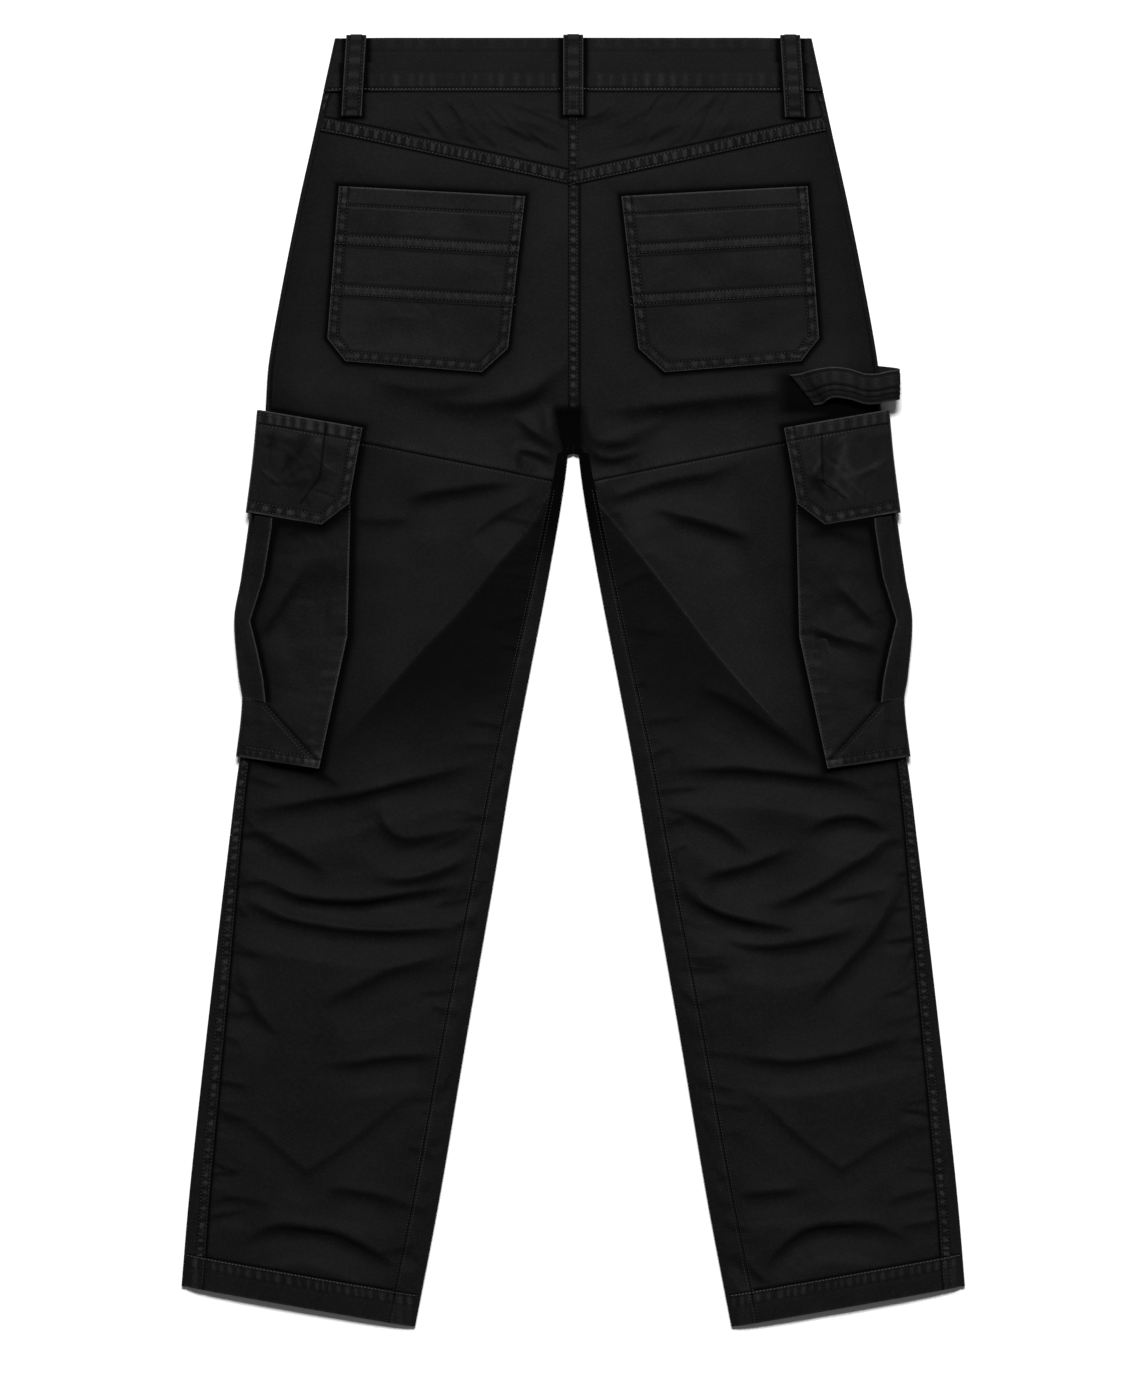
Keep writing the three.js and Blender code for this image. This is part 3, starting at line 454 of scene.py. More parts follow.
def foldPart(place, at, away, thick):  # the bend round a place in each row of a leg, lying on the floor
    p, y = (spots[:, 0] for spots in place(at[:, None]))
    half = cloth["bendHalf"]
    return bendPart(p, y, away, half, half + frontLift(p, y), thick, np.linspace(90, -90, 11)[1:-1][::away])


def joinParts(parts, side=1):  # parts laid side by side, as outer points, inner points and wear
    p, y, z, insideP, insideZ, wearAndPaintedShade = (np.concatenate(rows, axis=1) for rows in zip(*parts))
    return np.stack([side * p, y, z], axis=-1), np.stack([side * insideP, y, insideZ], axis=-1), wearAndPaintedShade


def spaced(length, step, edge):  # places along a length: the edge list at both ends, about step apart between
    edge = np.array(edge, float)
    count = max(2, int(round((length - 2 * edge[-1]) / step)) + 1)
    middle = np.linspace(edge[-1], length - edge[-1], count)[1:-1]
    return np.concatenate([edge, middle, length - edge[::-1]])


def columns(lengths, step, edge):  # the same along each of many rows of unequal length
    edge = np.array(edge, float)
    count = max(3, int(round((lengths.max() - 2 * edge[-1]) / step)) + 1)
    t = np.linspace(0, 1, count)[1:-1]
    start = np.broadcast_to(edge, (len(lengths), len(edge)))
    middle = edge[-1] + (lengths[:, None] - 2 * edge[-1]) * t
    return np.concatenate([start, middle, lengths[:, None] - start[:, ::-1]], axis=1)


def rowsThrough(names, step, edge):  # the outer and inner y of each row, from the top seam to the bottom one
    spots = np.array([levels[name] for name in names], float)
    gap = cloth["halfGap"]
    spots[0] -= gap
    spots[-1] += gap
    down = np.concatenate([[0], np.cumsum(np.abs(np.diff(spots[:, 0])))])
    at = spaced(down[-1], step, edge)
    if "crotch" in names:  # close rows where the gap between the legs starts
        at = np.sort(np.append(at, down[names.index("crotch")] + np.array([2.6, 3.1, 3.6])))
    if len(names) > 2:
        return np.interp(at, down, spots[:, 0]), np.interp(at, down, spots[:, 1])
    inner = spaced(spots[0, 1] - spots[1, 1], step, edge)  # between two seams, rows near each stay parallel to it
    keep, at = len(edge), inner.copy()
    at[-keep:] = down[-1] - np.array(edge)[::-1]
    at[keep - 1:-keep + 1] = np.linspace(edge[-1], down[-1] - edge[-1], len(at) - 2 * keep + 2)
    return spots[0, 0] - at, spots[0, 1] - inner


seamEdge = (0, 0.3, 0.8, 1.5, 2.4, 3.6, 5, 6.5, 8, 9.5, 11.2, 13.5, 16.5)
rowEdge = (0, 0.3, 0.8, 1.5, 2.4, 3.6, 5, 6.6, 8.4, 10.2)
centreBand = 4.2  # half the width of the felled seam down the middle of the back


def innerLine(y):  # the inner end of a row: the middle line above the crotch, the inner fold below
    crotchY = levels["crotch"][1]
    return innerEdge(np.minimum(y, crotchY)) * ramp(crotchY - 3, crotchY - 3.9, y)


def innerInset(side, y):  # how far a back row ends before that: the right half lies over the left
    middle = cloth["halfGap"] + centreBand * -side
    return middle + (innerSeamIn(y) + cloth["halfGap"] - middle) * ramp(195, 188, y)


def alongRows(outerY, innerY, innerP):  # rows' lengths, and what gives a place by its distance from the outer end
    outerP = outerEdge(outerY)
    length = np.hypot(outerP - innerP, outerY - innerY)

    def place(at):
        share = at / length[:, None]
        p = outerP[:, None] + (innerP - outerP)[:, None] * share
        return p, outerY[:, None] + (innerY - outerY)[:, None] * share
    return length, place


def backGrid(side, names, rowStep, columnStep, edge=rowEdge):
    outerY, innerY = rowsThrough(names, rowStep, edge)
    length, place = alongRows(outerY, innerY, innerLine(innerY))
    start = sideSeamIn(outerY) + cloth["halfGap"]
    stop = length - innerInset(side, innerY)
    across = columns(stop - start, columnStep, seamEdge)
    share = (start[:, None] + across) / length[:, None]
    p, y = place(start[:, None] + across)
    slant = 0.975  # the seams slope, so they are a little nearer than straight up or down
    top, bottom = levels[names[0]], levels[names[-1]]
    return {"p": p, "y": y, "outer": across, "inner": (stop - start)[:, None] - across,
            "top": (top[0] + (top[1] - top[0]) * share - y) * slant,
            "bottom": (y - bottom[0] - (bottom[1] - bottom[0]) * share) * slant}


def felled(distance, along, wide, seed, high=0.75, lumpy=1.0):  # a band of two sewn rows and a puckered rib
    lump = 1 - lumpy + lumpy * puckers(along + 0.12 * distance, 7, seed)
    band = ramp(-0.2, 0.5, distance) * (1 - ramp(wide - 0.3, wide + 0.9, distance))
    rib = ramp(1, 2.3, distance) * (1 - ramp(wide - 2.3, wide - 1, distance))
    sewn = hump(distance - 1.1, 0.6) + hump(distance - wide + 1.1, 0.6)
    # its tone: lighter on the rubbed lumps, darker between them, with painted shade along the sewn rows
    wearAndPaintedShade = band * (rib * (0.9 * lump - 0.5 * lumpy - 0.3 * (1 - lumpy)) - 0.9 * sewn)
    return band * (0.35 * high + rib * lump * 1.2 * high - 0.45 * sewn * high), wearAndPaintedShade


def edgeRoll(distance, reach=0.9, fall=0.55):  # the rounding of a turned edge
    t = 1 - np.clip(distance / reach, 0, 1)
    return -fall * (1 - np.sqrt(1 - t * t))


def backPanel(word, side, grid, height, wearAndPaintedShade, flat, area=None, restsOn=("front",)):
    outer = np.stack([side * grid["p"], grid["y"], height], axis=-1)
    inner = outer - np.array([0, 0, cloth["thick"]])
    clothPiece(sided(word, side), outer, inner, wearAndPaintedShade, flat, [sided(below, side) for below in restsOn], area=area)


# Materials

def linear(code):  # an sRGB hex colour as linear values
    parts = [int(code[i:i + 2], 16) / 255 for i in (1, 3, 5)]
    return [(c / 12.92 if c <= 0.04045 else ((c + 0.055) / 1.055) ** 2.4) for c in parts] + [1]


def addNode(tree, kind, inputs=None, **settings):
    node = tree.nodes.new(kind)
    for name, value in settings.items():
        setattr(node, name, value)
    for socket, value in (inputs or {}).items():
        if isinstance(value, bpy.types.NodeSocket):
            tree.links.new(value, node.inputs[socket])
        else:
            node.inputs[socket].default_value = value
    return node


def newMaterial(name):
    material = bpy.data.materials.new(name)
    material.use_nodes = True
    tree = material.node_tree
    tree.nodes.clear()
    return material, tree


def makeTwill():
    # Cotton twill, woven undyed, sewn up and then dyed black as a garment: the dye is patchy, and rubbed off
    # the seam ridges and edges, which gives the eye greyer ribs on a soft black.
    # Below zero the attribute mixes the colour towards deep, a painted shade colour, and raises the roughness: painted
    # shade in grooves, hollows, beside pieces sewn on and on cloth turned from the light.
    look = {
        "black": "#0b0b0c", "patch": "#0e0e0f", "fleck": "#19191a", "worn": "#3c3c3d", "deep": "#010101",
        "waleMm": 1.7,  # a real wale is 0.6 mm, drawn this coarse to show
        "patchMm": 38, "slubMm": 2.4, "roughness": 0.6,
    }
    material, tree = newMaterial("garmentDyedCottonTwill")
    place = addNode(tree, "ShaderNodeTexCoord").outputs["Object"]
    turned = addNode(tree, "ShaderNodeMapping", {"Vector": place, "Rotation": (0, 0, math.radians(32))})
    waveScale = math.pi / 10 / (look["waleMm"] * mm)
    wale = addNode(tree, "ShaderNodeTexWave", {"Vector": turned.outputs[0], "Scale": waveScale, "Distortion": 1.4,
                                               "Detail": 1, "Detail Scale": 1.5}, bands_direction="X")
    slub = addNode(tree, "ShaderNodeTexNoise", {"Vector": place, "Scale": 1 / (look["slubMm"] * mm), "Detail": 4,
                                                "Roughness": 0.65})
    patch = addNode(tree, "ShaderNodeTexNoise", {"Vector": place, "Scale": 1 / (look["patchMm"] * mm), "Detail": 3})
    patchShare = addNode(tree, "ShaderNodeMapRange", {"Value": patch.outputs["Fac"], "From Min": 0.35,
                                                      "From Max": 0.65})
    dyed = addNode(tree, "ShaderNodeMix", {"Factor": patchShare.outputs[0], 6: linear(look["black"]),
                                           7: linear(look["patch"])}, data_type="RGBA")
    fleck = addNode(tree, "ShaderNodeMapRange", {"Value": slub.outputs["Fac"], "From Min": 0.45, "From Max": 0.75,
                                                 "To Max": 0.5})
    flecked = addNode(tree, "ShaderNodeMix", {"Factor": fleck.outputs[0], 6: dyed.outputs[2],
                                              7: linear(look["fleck"])}, data_type="RGBA")
    worn = addNode(tree, "ShaderNodeAttribute", attribute_name="wearAndPaintedShade")  # above 0 rubbed, below 0 painted shade
    rubbed = addNode(tree, "ShaderNodeMath", {0: worn.outputs["Fac"], 1: slub.outputs["Fac"]}, operation="MULTIPLY")
    rubbedMore = addNode(tree, "ShaderNodeMath", {0: rubbed.outputs[0], 1: 1.7}, operation="MULTIPLY", use_clamp=True)
    colour = addNode(tree, "ShaderNodeMix", {"Factor": rubbedMore.outputs[0], 6: flecked.outputs[2],
                                             7: linear(look["worn"])}, data_type="RGBA")
    # how much painted shade, from how far the attribute is below zero
    paintedShadeShare = addNode(tree, "ShaderNodeMath", {0: worn.outputs["Fac"], 1: -1.0}, operation="MULTIPLY", use_clamp=True)
    shaded = addNode(tree, "ShaderNodeMix", {"Factor": paintedShadeShare.outputs[0], 6: colour.outputs[2],
                                             7: linear(look["deep"])}, data_type="RGBA")
    dull = addNode(tree, "ShaderNodeMapRange", {"Value": paintedShadeShare.outputs[0], "To Min": look["roughness"], "To Max": 1.0})
    grain = addNode(tree, "ShaderNodeMath", {0: wale.outputs["Fac"], 1: 0.5}, operation="MULTIPLY")
    height = addNode(tree, "ShaderNodeMath", {0: grain.outputs[0], 1: slub.outputs["Fac"]}, operation="ADD")
    bump = addNode(tree, "ShaderNodeBump", {"Height": height.outputs[0], "Strength": 0.8, "Distance": 0.3 * mm})
    shader = addNode(tree, "ShaderNodeBsdfPrincipled", {
        "Base Color": shaded.outputs[2], "Roughness": dull.outputs[0], "Specular IOR Level": 0.044,
        "Sheen Weight": 0.01, "Sheen Roughness": 0.5, "Normal": bump.outputs[0]})
    addNode(tree, "ShaderNodeOutputMaterial", {"Surface": shader.outputs[0]})
    return material


def makeThread():
    # Core-spun polyester and cotton thread, dyed with the garment: its polyester takes less dye, so each stitch
    # shows a little greyer than the cloth where it is rubbed
    look = {"pale": "#4c4c4d", "dark": "#060606", "patchMm": 60, "twistMm": 0.6, "roughness": 0.7}
    material, tree = newMaterial("coreSpunThread")
    place = addNode(tree, "ShaderNodeTexCoord").outputs["Object"]
    patch = addNode(tree, "ShaderNodeTexNoise", {"Vector": place, "Scale": 1 / (look["patchMm"] * mm), "Detail": 2})
    twist = addNode(tree, "ShaderNodeTexWave", {"Vector": place, "Scale": math.pi / 10 / (look["twistMm"] * mm)},
                    bands_direction="DIAGONAL")
    rubbed = addNode(tree, "ShaderNodeAttribute", attribute_name="wearAndPaintedShade")
    share = addNode(tree, "ShaderNodeMath", {0: patch.outputs["Fac"], 1: rubbed.outputs["Fac"]}, operation="MULTIPLY")
    shareMore = addNode(tree, "ShaderNodeMath", {0: share.outputs[0], 1: 2.0}, operation="MULTIPLY", use_clamp=True)
    colour = addNode(tree, "ShaderNodeMix", {"Factor": shareMore.outputs[0], 6: linear(look["dark"]),
                                             7: linear(look["pale"])}, data_type="RGBA")
    bump = addNode(tree, "ShaderNodeBump", {"Height": twist.outputs["Fac"], "Strength": 0.3, "Distance": 0.1 * mm})
    shader = addNode(tree, "ShaderNodeBsdfPrincipled", {
        "Base Color": colour.outputs[2], "Roughness": look["roughness"], "Specular IOR Level": 0.08,
        "Normal": bump.outputs[0]})
    addNode(tree, "ShaderNodeOutputMaterial", {"Surface": shader.outputs[0]})
    return material


def makeButtonResin():
    # Moulded polyester resin, tumbled: a satin black with a faint swirl
    look = {"black": "#151516", "swirl": "#202021", "roughness": 0.38, "grainMm": 1.5}
    material, tree = newMaterial("mouldedPolyesterResin")
    place = addNode(tree, "ShaderNodeTexCoord").outputs["Object"]
    grain = addNode(tree, "ShaderNodeTexNoise", {"Vector": place, "Scale": 1 / (look["grainMm"] * mm), "Detail": 3})
    colour = addNode(tree, "ShaderNodeMix", {"Factor": grain.outputs["Fac"], 6: linear(look["black"]),
                                             7: linear(look["swirl"])}, data_type="RGBA")
    shader = addNode(tree, "ShaderNodeBsdfPrincipled", {
        "Base Color": colour.outputs[2], "Roughness": look["roughness"], "IOR": 1.55})
    addNode(tree, "ShaderNodeOutputMaterial", {"Surface": shader.outputs[0]})
    return material


twill, thread, buttonResin = makeTwill(), makeThread(), makeButtonResin()
print("materials made")


# Outlines of the pieces sewn on, as p and y of their corners

outlines = {
    "backPocket": [(192, 406.5), (39.5, 398), (53.5, 273), (75, 253.5), (186.5, 262.5), (201.5, 281.5)],
    "bag": [(181, 187), (185, 37), (208, -71), (300, -56), (300, 205)],
    "flap": [(172.5, 208), (183.5, 145.5), (206, 128.5), (300, 146.4), (300, 230.7)],
}


def fromLine(p, y, a, b):  # distance to the right of the line from a to b
    dp, dy = b[0] - a[0], b[1] - a[1]
    return ((p - a[0]) * dy - (y - a[1]) * dp) / math.hypot(dp, dy)


def outlineDistance(p, y, corners, openEnds=()):  # distance in from the nearest edge of a convex outline
    nearest = np.full(np.shape(p), 1e3)
    middle = np.mean(corners, axis=0)
    for i, (a, b) in enumerate(zip(corners, corners[1:] + corners[:1])):
        if i in openEnds:
            continue
        off = fromLine(p, y, a, b)
        if fromLine(middle[0], middle[1], a, b) < 0:
            off = -off
        nearest = np.minimum(nearest, off)
    return nearest


def beside(p, y, outline, reach):  # 1 at the edge of a piece sewn on and under it, 0 further off: the mask of the painted shadow round it
    outside = -outlineDistance(p, y, outlines[outline])
    close = hump(np.maximum(outside - 1.4, 0), reach)
    return np.where(outside < 0, 1, np.minimum(0.8 * close + 0.22 * hump(np.maximum(outside, 0), 5 * reach), 1))


def ridgeTone(side, p, y):  # the crest of the leg ridge, which gets a painted highlight, and the plane inside it, which gets painted shade
    off = (legRidge[side](y) - p) * 0.72
    crest = hump(off, 0.75) * ramp(-60, -10, y) * (1 - ramp(150, 158, y))
    paintedShadePlane = ramp(0, 4, off) * (1 - ramp(45, 105, off)) * ramp(-75, 10, y) * (1 - ramp(140, 172, y))
    return crest, paintedShadePlane


# Back panels

def middleSeam(side, p, y):  # the felled seam down the middle, which lies on the right half
    if side < 0:
        return np.zeros(p.shape), np.zeros(p.shape)
    height, wearAndPaintedShade = felled(p + centreBand, y, 2 * centreBand, 11)
    return height * ramp(186, 204, y), wearAndPaintedShade * ramp(186, 204, y)


def makeYoke(side):
    yoke = {"rowStep": 1.5, "columnStep": 1.4, "band": 10, "creases": 26, "creaseLong": 44, "flat": (0.2, 0.062),
            "rowEdge": (0, 0.3, 0.8, 1.4, 2.2, 3.2, 4.4, 5.6, 6.8, 7.9, 8.8, 9.5, 10.1, 10.7, 11.5, 12.7)}
    grid = backGrid(side, ["waistSeam", "yokeSeam"], yoke["rowStep"], yoke["columnStep"], yoke["rowEdge"])
    p, y, top, bottom = (grid[key] for key in ("p", "y", "top", "bottom"))
    band, bandWearAndPaintedShade = felled(bottom, p, yoke["band"], 21 + side)
    middle, middleWearAndPaintedShade = middleSeam(side, p, y)
    pucker = 0.25 * puckers(p, 7, 21 + side) * np.exp(-np.maximum(bottom - yoke["band"], 0) / 5)
    creases = dragLines(27 + side, yoke["creases"], (14, 432), (125, 478), yoke["creaseLong"])
    drag = foldRelief(creases, p, y, 2) * ramp(10, 16, bottom)
    height = surface(side, p, y) + np.maximum(band, middle) + pucker + drag
    height += edgeRoll(bottom, 0.7, 0.5) - 0.6 * hump(top, 1.2)
    # the rubbed band and edges are lighter; painted shade lies along the seams and sewn rows
    wearAndPaintedShade = bandWearAndPaintedShade * 0.8 + middleWearAndPaintedShade + 0.5 * hump(bottom - 0.5, 0.7) - 0.9 * hump(top, 1.5)
    wearAndPaintedShade += 0.5 * hump(bottom - yoke["band"] + 0.3, 0.6) - hump(bottom - yoke["band"] - 1.2, 1)
    for x in (0, 178):  # painted shadow beside the belt loops
        wearAndPaintedShade -= hump(np.maximum(np.abs(p - x - 4 * (x > 0)) - 9.5, 0), 2.6) * ramp(459, 463, y)
    backPanel("yoke", side, grid, height, wearAndPaintedShade, yoke["flat"])


def makeSeat(side):
    seat = {"rowStep": 1.7, "columnStep": 1.7, "flat": (0.235, 0.26), "gatherPitch": 3}
    grid = backGrid(side, ["yokeSeam", "crotch", "thighSeam"], seat["rowStep"], seat["columnStep"])
    p, y, top, bottom = (grid[key] for key in ("p", "y", "top", "bottom"))
    middle, middleWearAndPaintedShade = middleSeam(side, p, y)
    hollow = inHollow(side, p, y)
    pucker = 0.35 * puckers(p, 7, 21 + side) * np.exp(-top / 5) - 0.5 * hump(top, 1.6)
    gather = ribble(p, seat["gatherPitch"], 33 + side)
    gathers = 0.5 * gather * np.exp(-bottom / 5) * (0.45 + 0.55 * ramp(110, 165, p)) - 0.6 * hump(bottom, 1.1)
    nearPocket, nearFlap = beside(p, y, "backPocket", 2.2), beside(p, y, "flap", 3)
    height = surface(side, p, y) + middle * (1 - hollow) + pucker + gathers - 0.5 * nearPocket
    # painted shade in the crotch hollow, along the seams and towards the outer side, and painted shadow round the
    # pocket and the flap; the gathers are rubbed lighter
    wearAndPaintedShade = middleWearAndPaintedShade - 2 * hollow - nearPocket - nearFlap - 0.9 * hump(bottom, 1.1)
    wearAndPaintedShade += 0.12 * np.clip(gather, 0, 1) * hump(bottom - 4, 2.5) - 0.2 * hump(grid["outer"], 22) - hump(top - 0.3, 1.2)
    if side > 0:  # painted shadow under the hammer loop and beside the middle seam
        wearAndPaintedShade -= 0.9 * hump(np.maximum(np.abs(y - 236) - 12, 0), 6) * ramp(158, 178, p)
        wearAndPaintedShade -= 0.9 * hump(p - centreBand - 1.2, 1)
    backPanel("seat", side, grid, height, wearAndPaintedShade, seat["flat"])


def makeBackLeg(side):
    leg = {"rowStep": 1.75, "columnStep": 1.75, "flat": (0.25, 0.69), "area": 0.13,
           "planeShade": {-1: 0.55, 1: 0.4}, "shade": {-1: 0.08, 1: 0}}
    grid = backGrid(side, ["thighSeam", "flap", "bag", "hemSeam"], leg["rowStep"], leg["columnStep"])
    p, y, top, bottom, inner, outer = (grid[key] for key in ("p", "y", "top", "bottom", "inner", "outer"))
    seams = 0.2 * edgeRoll(top, 0.8, 1) - 0.15 * hump(top - 1.8, 0.6) - 0.5 * hump(bottom, 1.2)
    seams += 0.12 * ribble(y, 5, 41 + side) * np.exp(-inner / 5) - 0.3 * hump(inner, 0.8) - 0.2 * hump(inner - 3.4, 0.6)
    seams += 0.25 * ribble(y, 7, 43 + side) * np.exp(-outer / 6) - 0.55 * hump(outer, 1)
    crest, paintedShadePlane = ridgeTone(side, p, y)
    near = np.maximum(beside(p, y, "bag", 4.5), beside(p, y, "flap", 4.5))
    height = surface(side, p, y) + seams + 0.35 * crest
    # the ridge's crest gets a painted highlight; painted shade lies on the plane inside it, over the whole left leg,
    # round the bag and flap and along the seams
    wearAndPaintedShade = 0.1 * hump(top - 0.6, 0.6) + 0.22 * crest - leg["planeShade"][side] * paintedShadePlane - leg["shade"][side] - near
    wearAndPaintedShade -= hump(outer - 0.4, 1.5) + 0.7 * hump(bottom, 1.4) + 0.5 * hump(inner, 0.7)
    backPanel("back_leg", side, grid, height, wearAndPaintedShade, leg["flat"], leg["area"], ("front", "front_shin"))


# Front panels: over the side fold, along the surface and over the inner fold

frontPanels = {
    "front": {"seams": ["waistSeam", "yokeSeam", "crotch", "thighSeam", "flap", "bag", "kneeSeam"],
              "flat": (0.29, 0.66), "area": 0.15},
    "front_shin": {"seams": ["kneeSeam", "hemSeam"], "flat": (0.26, 0.35), "area": None},
}



def frontSag(side, p, y, fromEnds):  # soft hollows under the front, where it doesn't touch the floor
    folds = foldRelief(mainFolds[-side], p + 9, y - 24, 3) + 0.7 * patchy(p, y, 44, 171 + side)
    fly = 1 - (1 - ramp(40, 66, p)) * ramp(280, 310, y)
    raised = 0.4 * np.clip(folds, 0, 4) * ramp(4, 26, fromEnds) * fly * (1 - ramp(420, 440, y))
    return np.minimum(raised, np.maximum(surface(side, p, y) - frontLift(p, y) - 3.4, 0))


def makeFront(side, word):
    front = {"rowStep": 2.6, "stripStep": 0.9, "flatColumns": 34, "band": 8.2, **frontPanels[word]}
    outerY, innerY = rowsThrough(front["seams"], front["rowStep"], rowEdge)
    length, place = alongRows(outerY, innerY, innerLine(innerY))
    reach, thick = cloth["bendReach"], cloth["thick"]
    below = ramp(195, 188, innerY)  # there is an inner fold below the crotch only
    stripShare = spaced(10, front["stripStep"], (0, 0.3, 0.8, 1.4)) / 10
    # the strip that shows on the back at the side seam, and the bend
    strip = np.clip(sideSeamIn(outerY) - cloth["halfGap"], reach + 0.6, None)[:, None]
    at = strip + (reach - strip) * stripShare
    p, y = place(at)
    fromSeam, room = strip - at, ramp(3.4, 7, strip)
    band, bandWearAndPaintedShade = felled(fromSeam, y, front["band"], 51 + side, high=0.8)
    high = surface(side, p, y) + band * room * ramp(0, 2, at - reach + 0.6) + edgeRoll(fromSeam, 0.6, 0.4)
    # painted shade on the strip, strongest near y 240, and rubbed lumps on its band
    wearAndPaintedShade = (bandWearAndPaintedShade + 0.3 * hump(fromSeam - 0.3, 0.5)) * room - 0.6 * hump(y - 240, 60)
    parts = [(p, y, high, p, high - thick, wearAndPaintedShade), foldPart(place, np.full(len(outerY), reach), 1, thick)]
    # the part that lies on the floor
    at = reach + (length - reach * below - reach)[:, None] * np.linspace(0, 1, front["flatColumns"])
    p, y = place(at)
    low = frontLift(p, y) + frontSag(side, p, y, np.minimum(at, length[:, None] - at))
    parts.append((p, y, low, p, low + thick, 0 * p))
    shared = sum(part[0].shape[1] for part in parts)
    # the inner bend and the strip at the inner leg seam, both with painted shade that deepens towards the crotch
    bend = foldPart(place, length - reach, -1, thick)
    parts.append((*bend[:5], -ramp(60, 140, bend[1])))
    innerStrip = np.maximum(innerSeamIn(innerY) * below - cloth["halfGap"], reach + 0.4)[:, None]
    at = length[:, None] - reach - (innerStrip - reach) * stripShare
    p, y = place(at)
    fromSeam = at - length[:, None] + innerStrip
    high = surface(side, p, y) - 0.3 * hump(fromSeam, 0.8) - 0.15 * hump(fromSeam - 2.6, 0.6)
    high += 0.12 * ribble(y, 5, 41 + side) * np.exp(-fromSeam / 5)
    parts.append((p, y, high, p, high - thick, -ramp(60, 140, y) - 0.5 * hump(fromSeam, 0.7)))
    outer, inner, wearAndPaintedShade = joinParts(parts, side)
    keep = np.ones((wearAndPaintedShade.shape[0] - 1, wearAndPaintedShade.shape[1] - 1), bool)
    keep[innerY[1:] > levels["crotch"][1] + 3, shared - 1:] = False
    nodes = [sided(word + part, side) for part in ("", "_side_fold", "_inner_fold")]
    clothPiece(sided(word, side), outer, inner, wearAndPaintedShade, front["flat"], ["floor"], nodes, front["area"], keep=keep)


def makeHem(side):
    hem = {"rowStep": 1.3, "columnStep": 1.5, "flat": (0.402, 0.03), "rowEdge": (0, 0.3, 0.7, 1.1, 1.6, 2.3, 3)}
    outerY, innerY = rowsThrough(["hemSeam", "hemEdge"], hem["rowStep"], hem["rowEdge"])
    outerY[-1], innerY[-1] = levels["hemEdge"]
    length, place = alongRows(outerY, innerY, innerEdge(innerY))
    reach, thick = cloth["bendReach"], cloth["doubled"]
    down, up = (levels["hemSeam"][0] - outerY)[:, None], (outerY - levels["hemEdge"][0])[:, None]
    fromOuter = columns(length - 2 * reach, hem["columnStep"], (0, 1, 2.2))[:, ::-1] + reach
    fromInner = length[:, None] - fromOuter
    p, y = place(fromOuter)
    ends = ramp(2, 8, fromOuter) * ramp(2, 8, fromInner)
    lumps, ruck = puckers(p, 7.5, 61 + side), ramp(0.5, 3, down) * (1 - ramp(8.5, 11, down))
    offSide, offInner = fromOuter - sideSeamIn(outerY)[:, None], fromInner - innerSeamIn(innerY)[:, None]
    bands = 0.35 * ramp(0, 1, -offSide) + 0.25 * ramp(0, 1, -offInner)
    high = surface(side, p, y) + (0.45 + 0.4 * ruck * lumps + bands - 0.22 * hump(down - 11.2, 0.8)) * ends
    high -= 0.35 * hump(offSide, 0.7) + 0.3 * hump(offInner, 0.6) + 0.2 * hump(offInner - 3.4, 0.6)
    high += 0.7 * edgeRoll(up, 1.4, 1) - 0.5 * hump(down, 1.1)
    # the rubbed lumps are lighter; painted shade lies along the sewn rows and seams
    wearAndPaintedShade = ((0.4 * lumps - 0.22) * ruck + 0.35 * bands * (lumps - 0.2)) * ends
    wearAndPaintedShade += 0.35 * hump(down - 1.1, 0.6) - 0.5 * hump(down - 2.4, 0.6) - hump(down, 1) + 0.35 * hump(up, 1)
    wearAndPaintedShade -= 0.9 * hump(offSide, 0.9) + 0.8 * hump(offInner, 0.8)
    parts = [(p, y, high, p, high - thick, wearAndPaintedShade), foldPart(place, np.full(len(outerY), reach), 1, thick)]
    p, y = place(reach + (length - 2 * reach)[:, None] * np.linspace(0, 1, 20))
    parts += [(p, y, 0 * p, p, 0 * p + thick, 0 * p), foldPart(place, length - reach, -1, thick)]
    clothPiece(sided("hem", side), *joinParts(parts, side), hem["flat"], ["floor"], closedRound=True)


for side in words:
    makeYoke(side)
    makeSeat(side)
    makeBackLeg(side)
    for word in frontPanels:
        makeFront(side, word)
    makeHem(side)
    print("panels made,", words[side])


# Waistband

def waistLow(x):
    return 2.4 * (1 - ramp(150, 192, np.abs(x)))


def waistHigh(x, edge):
    fromEdge = edge - cloth["bendReach"] - np.abs(x)
    return waistLow(x) + 8.4 + 1.4 * (1 - np.exp(-np.maximum(fromEdge, 0) / crownSoftness))


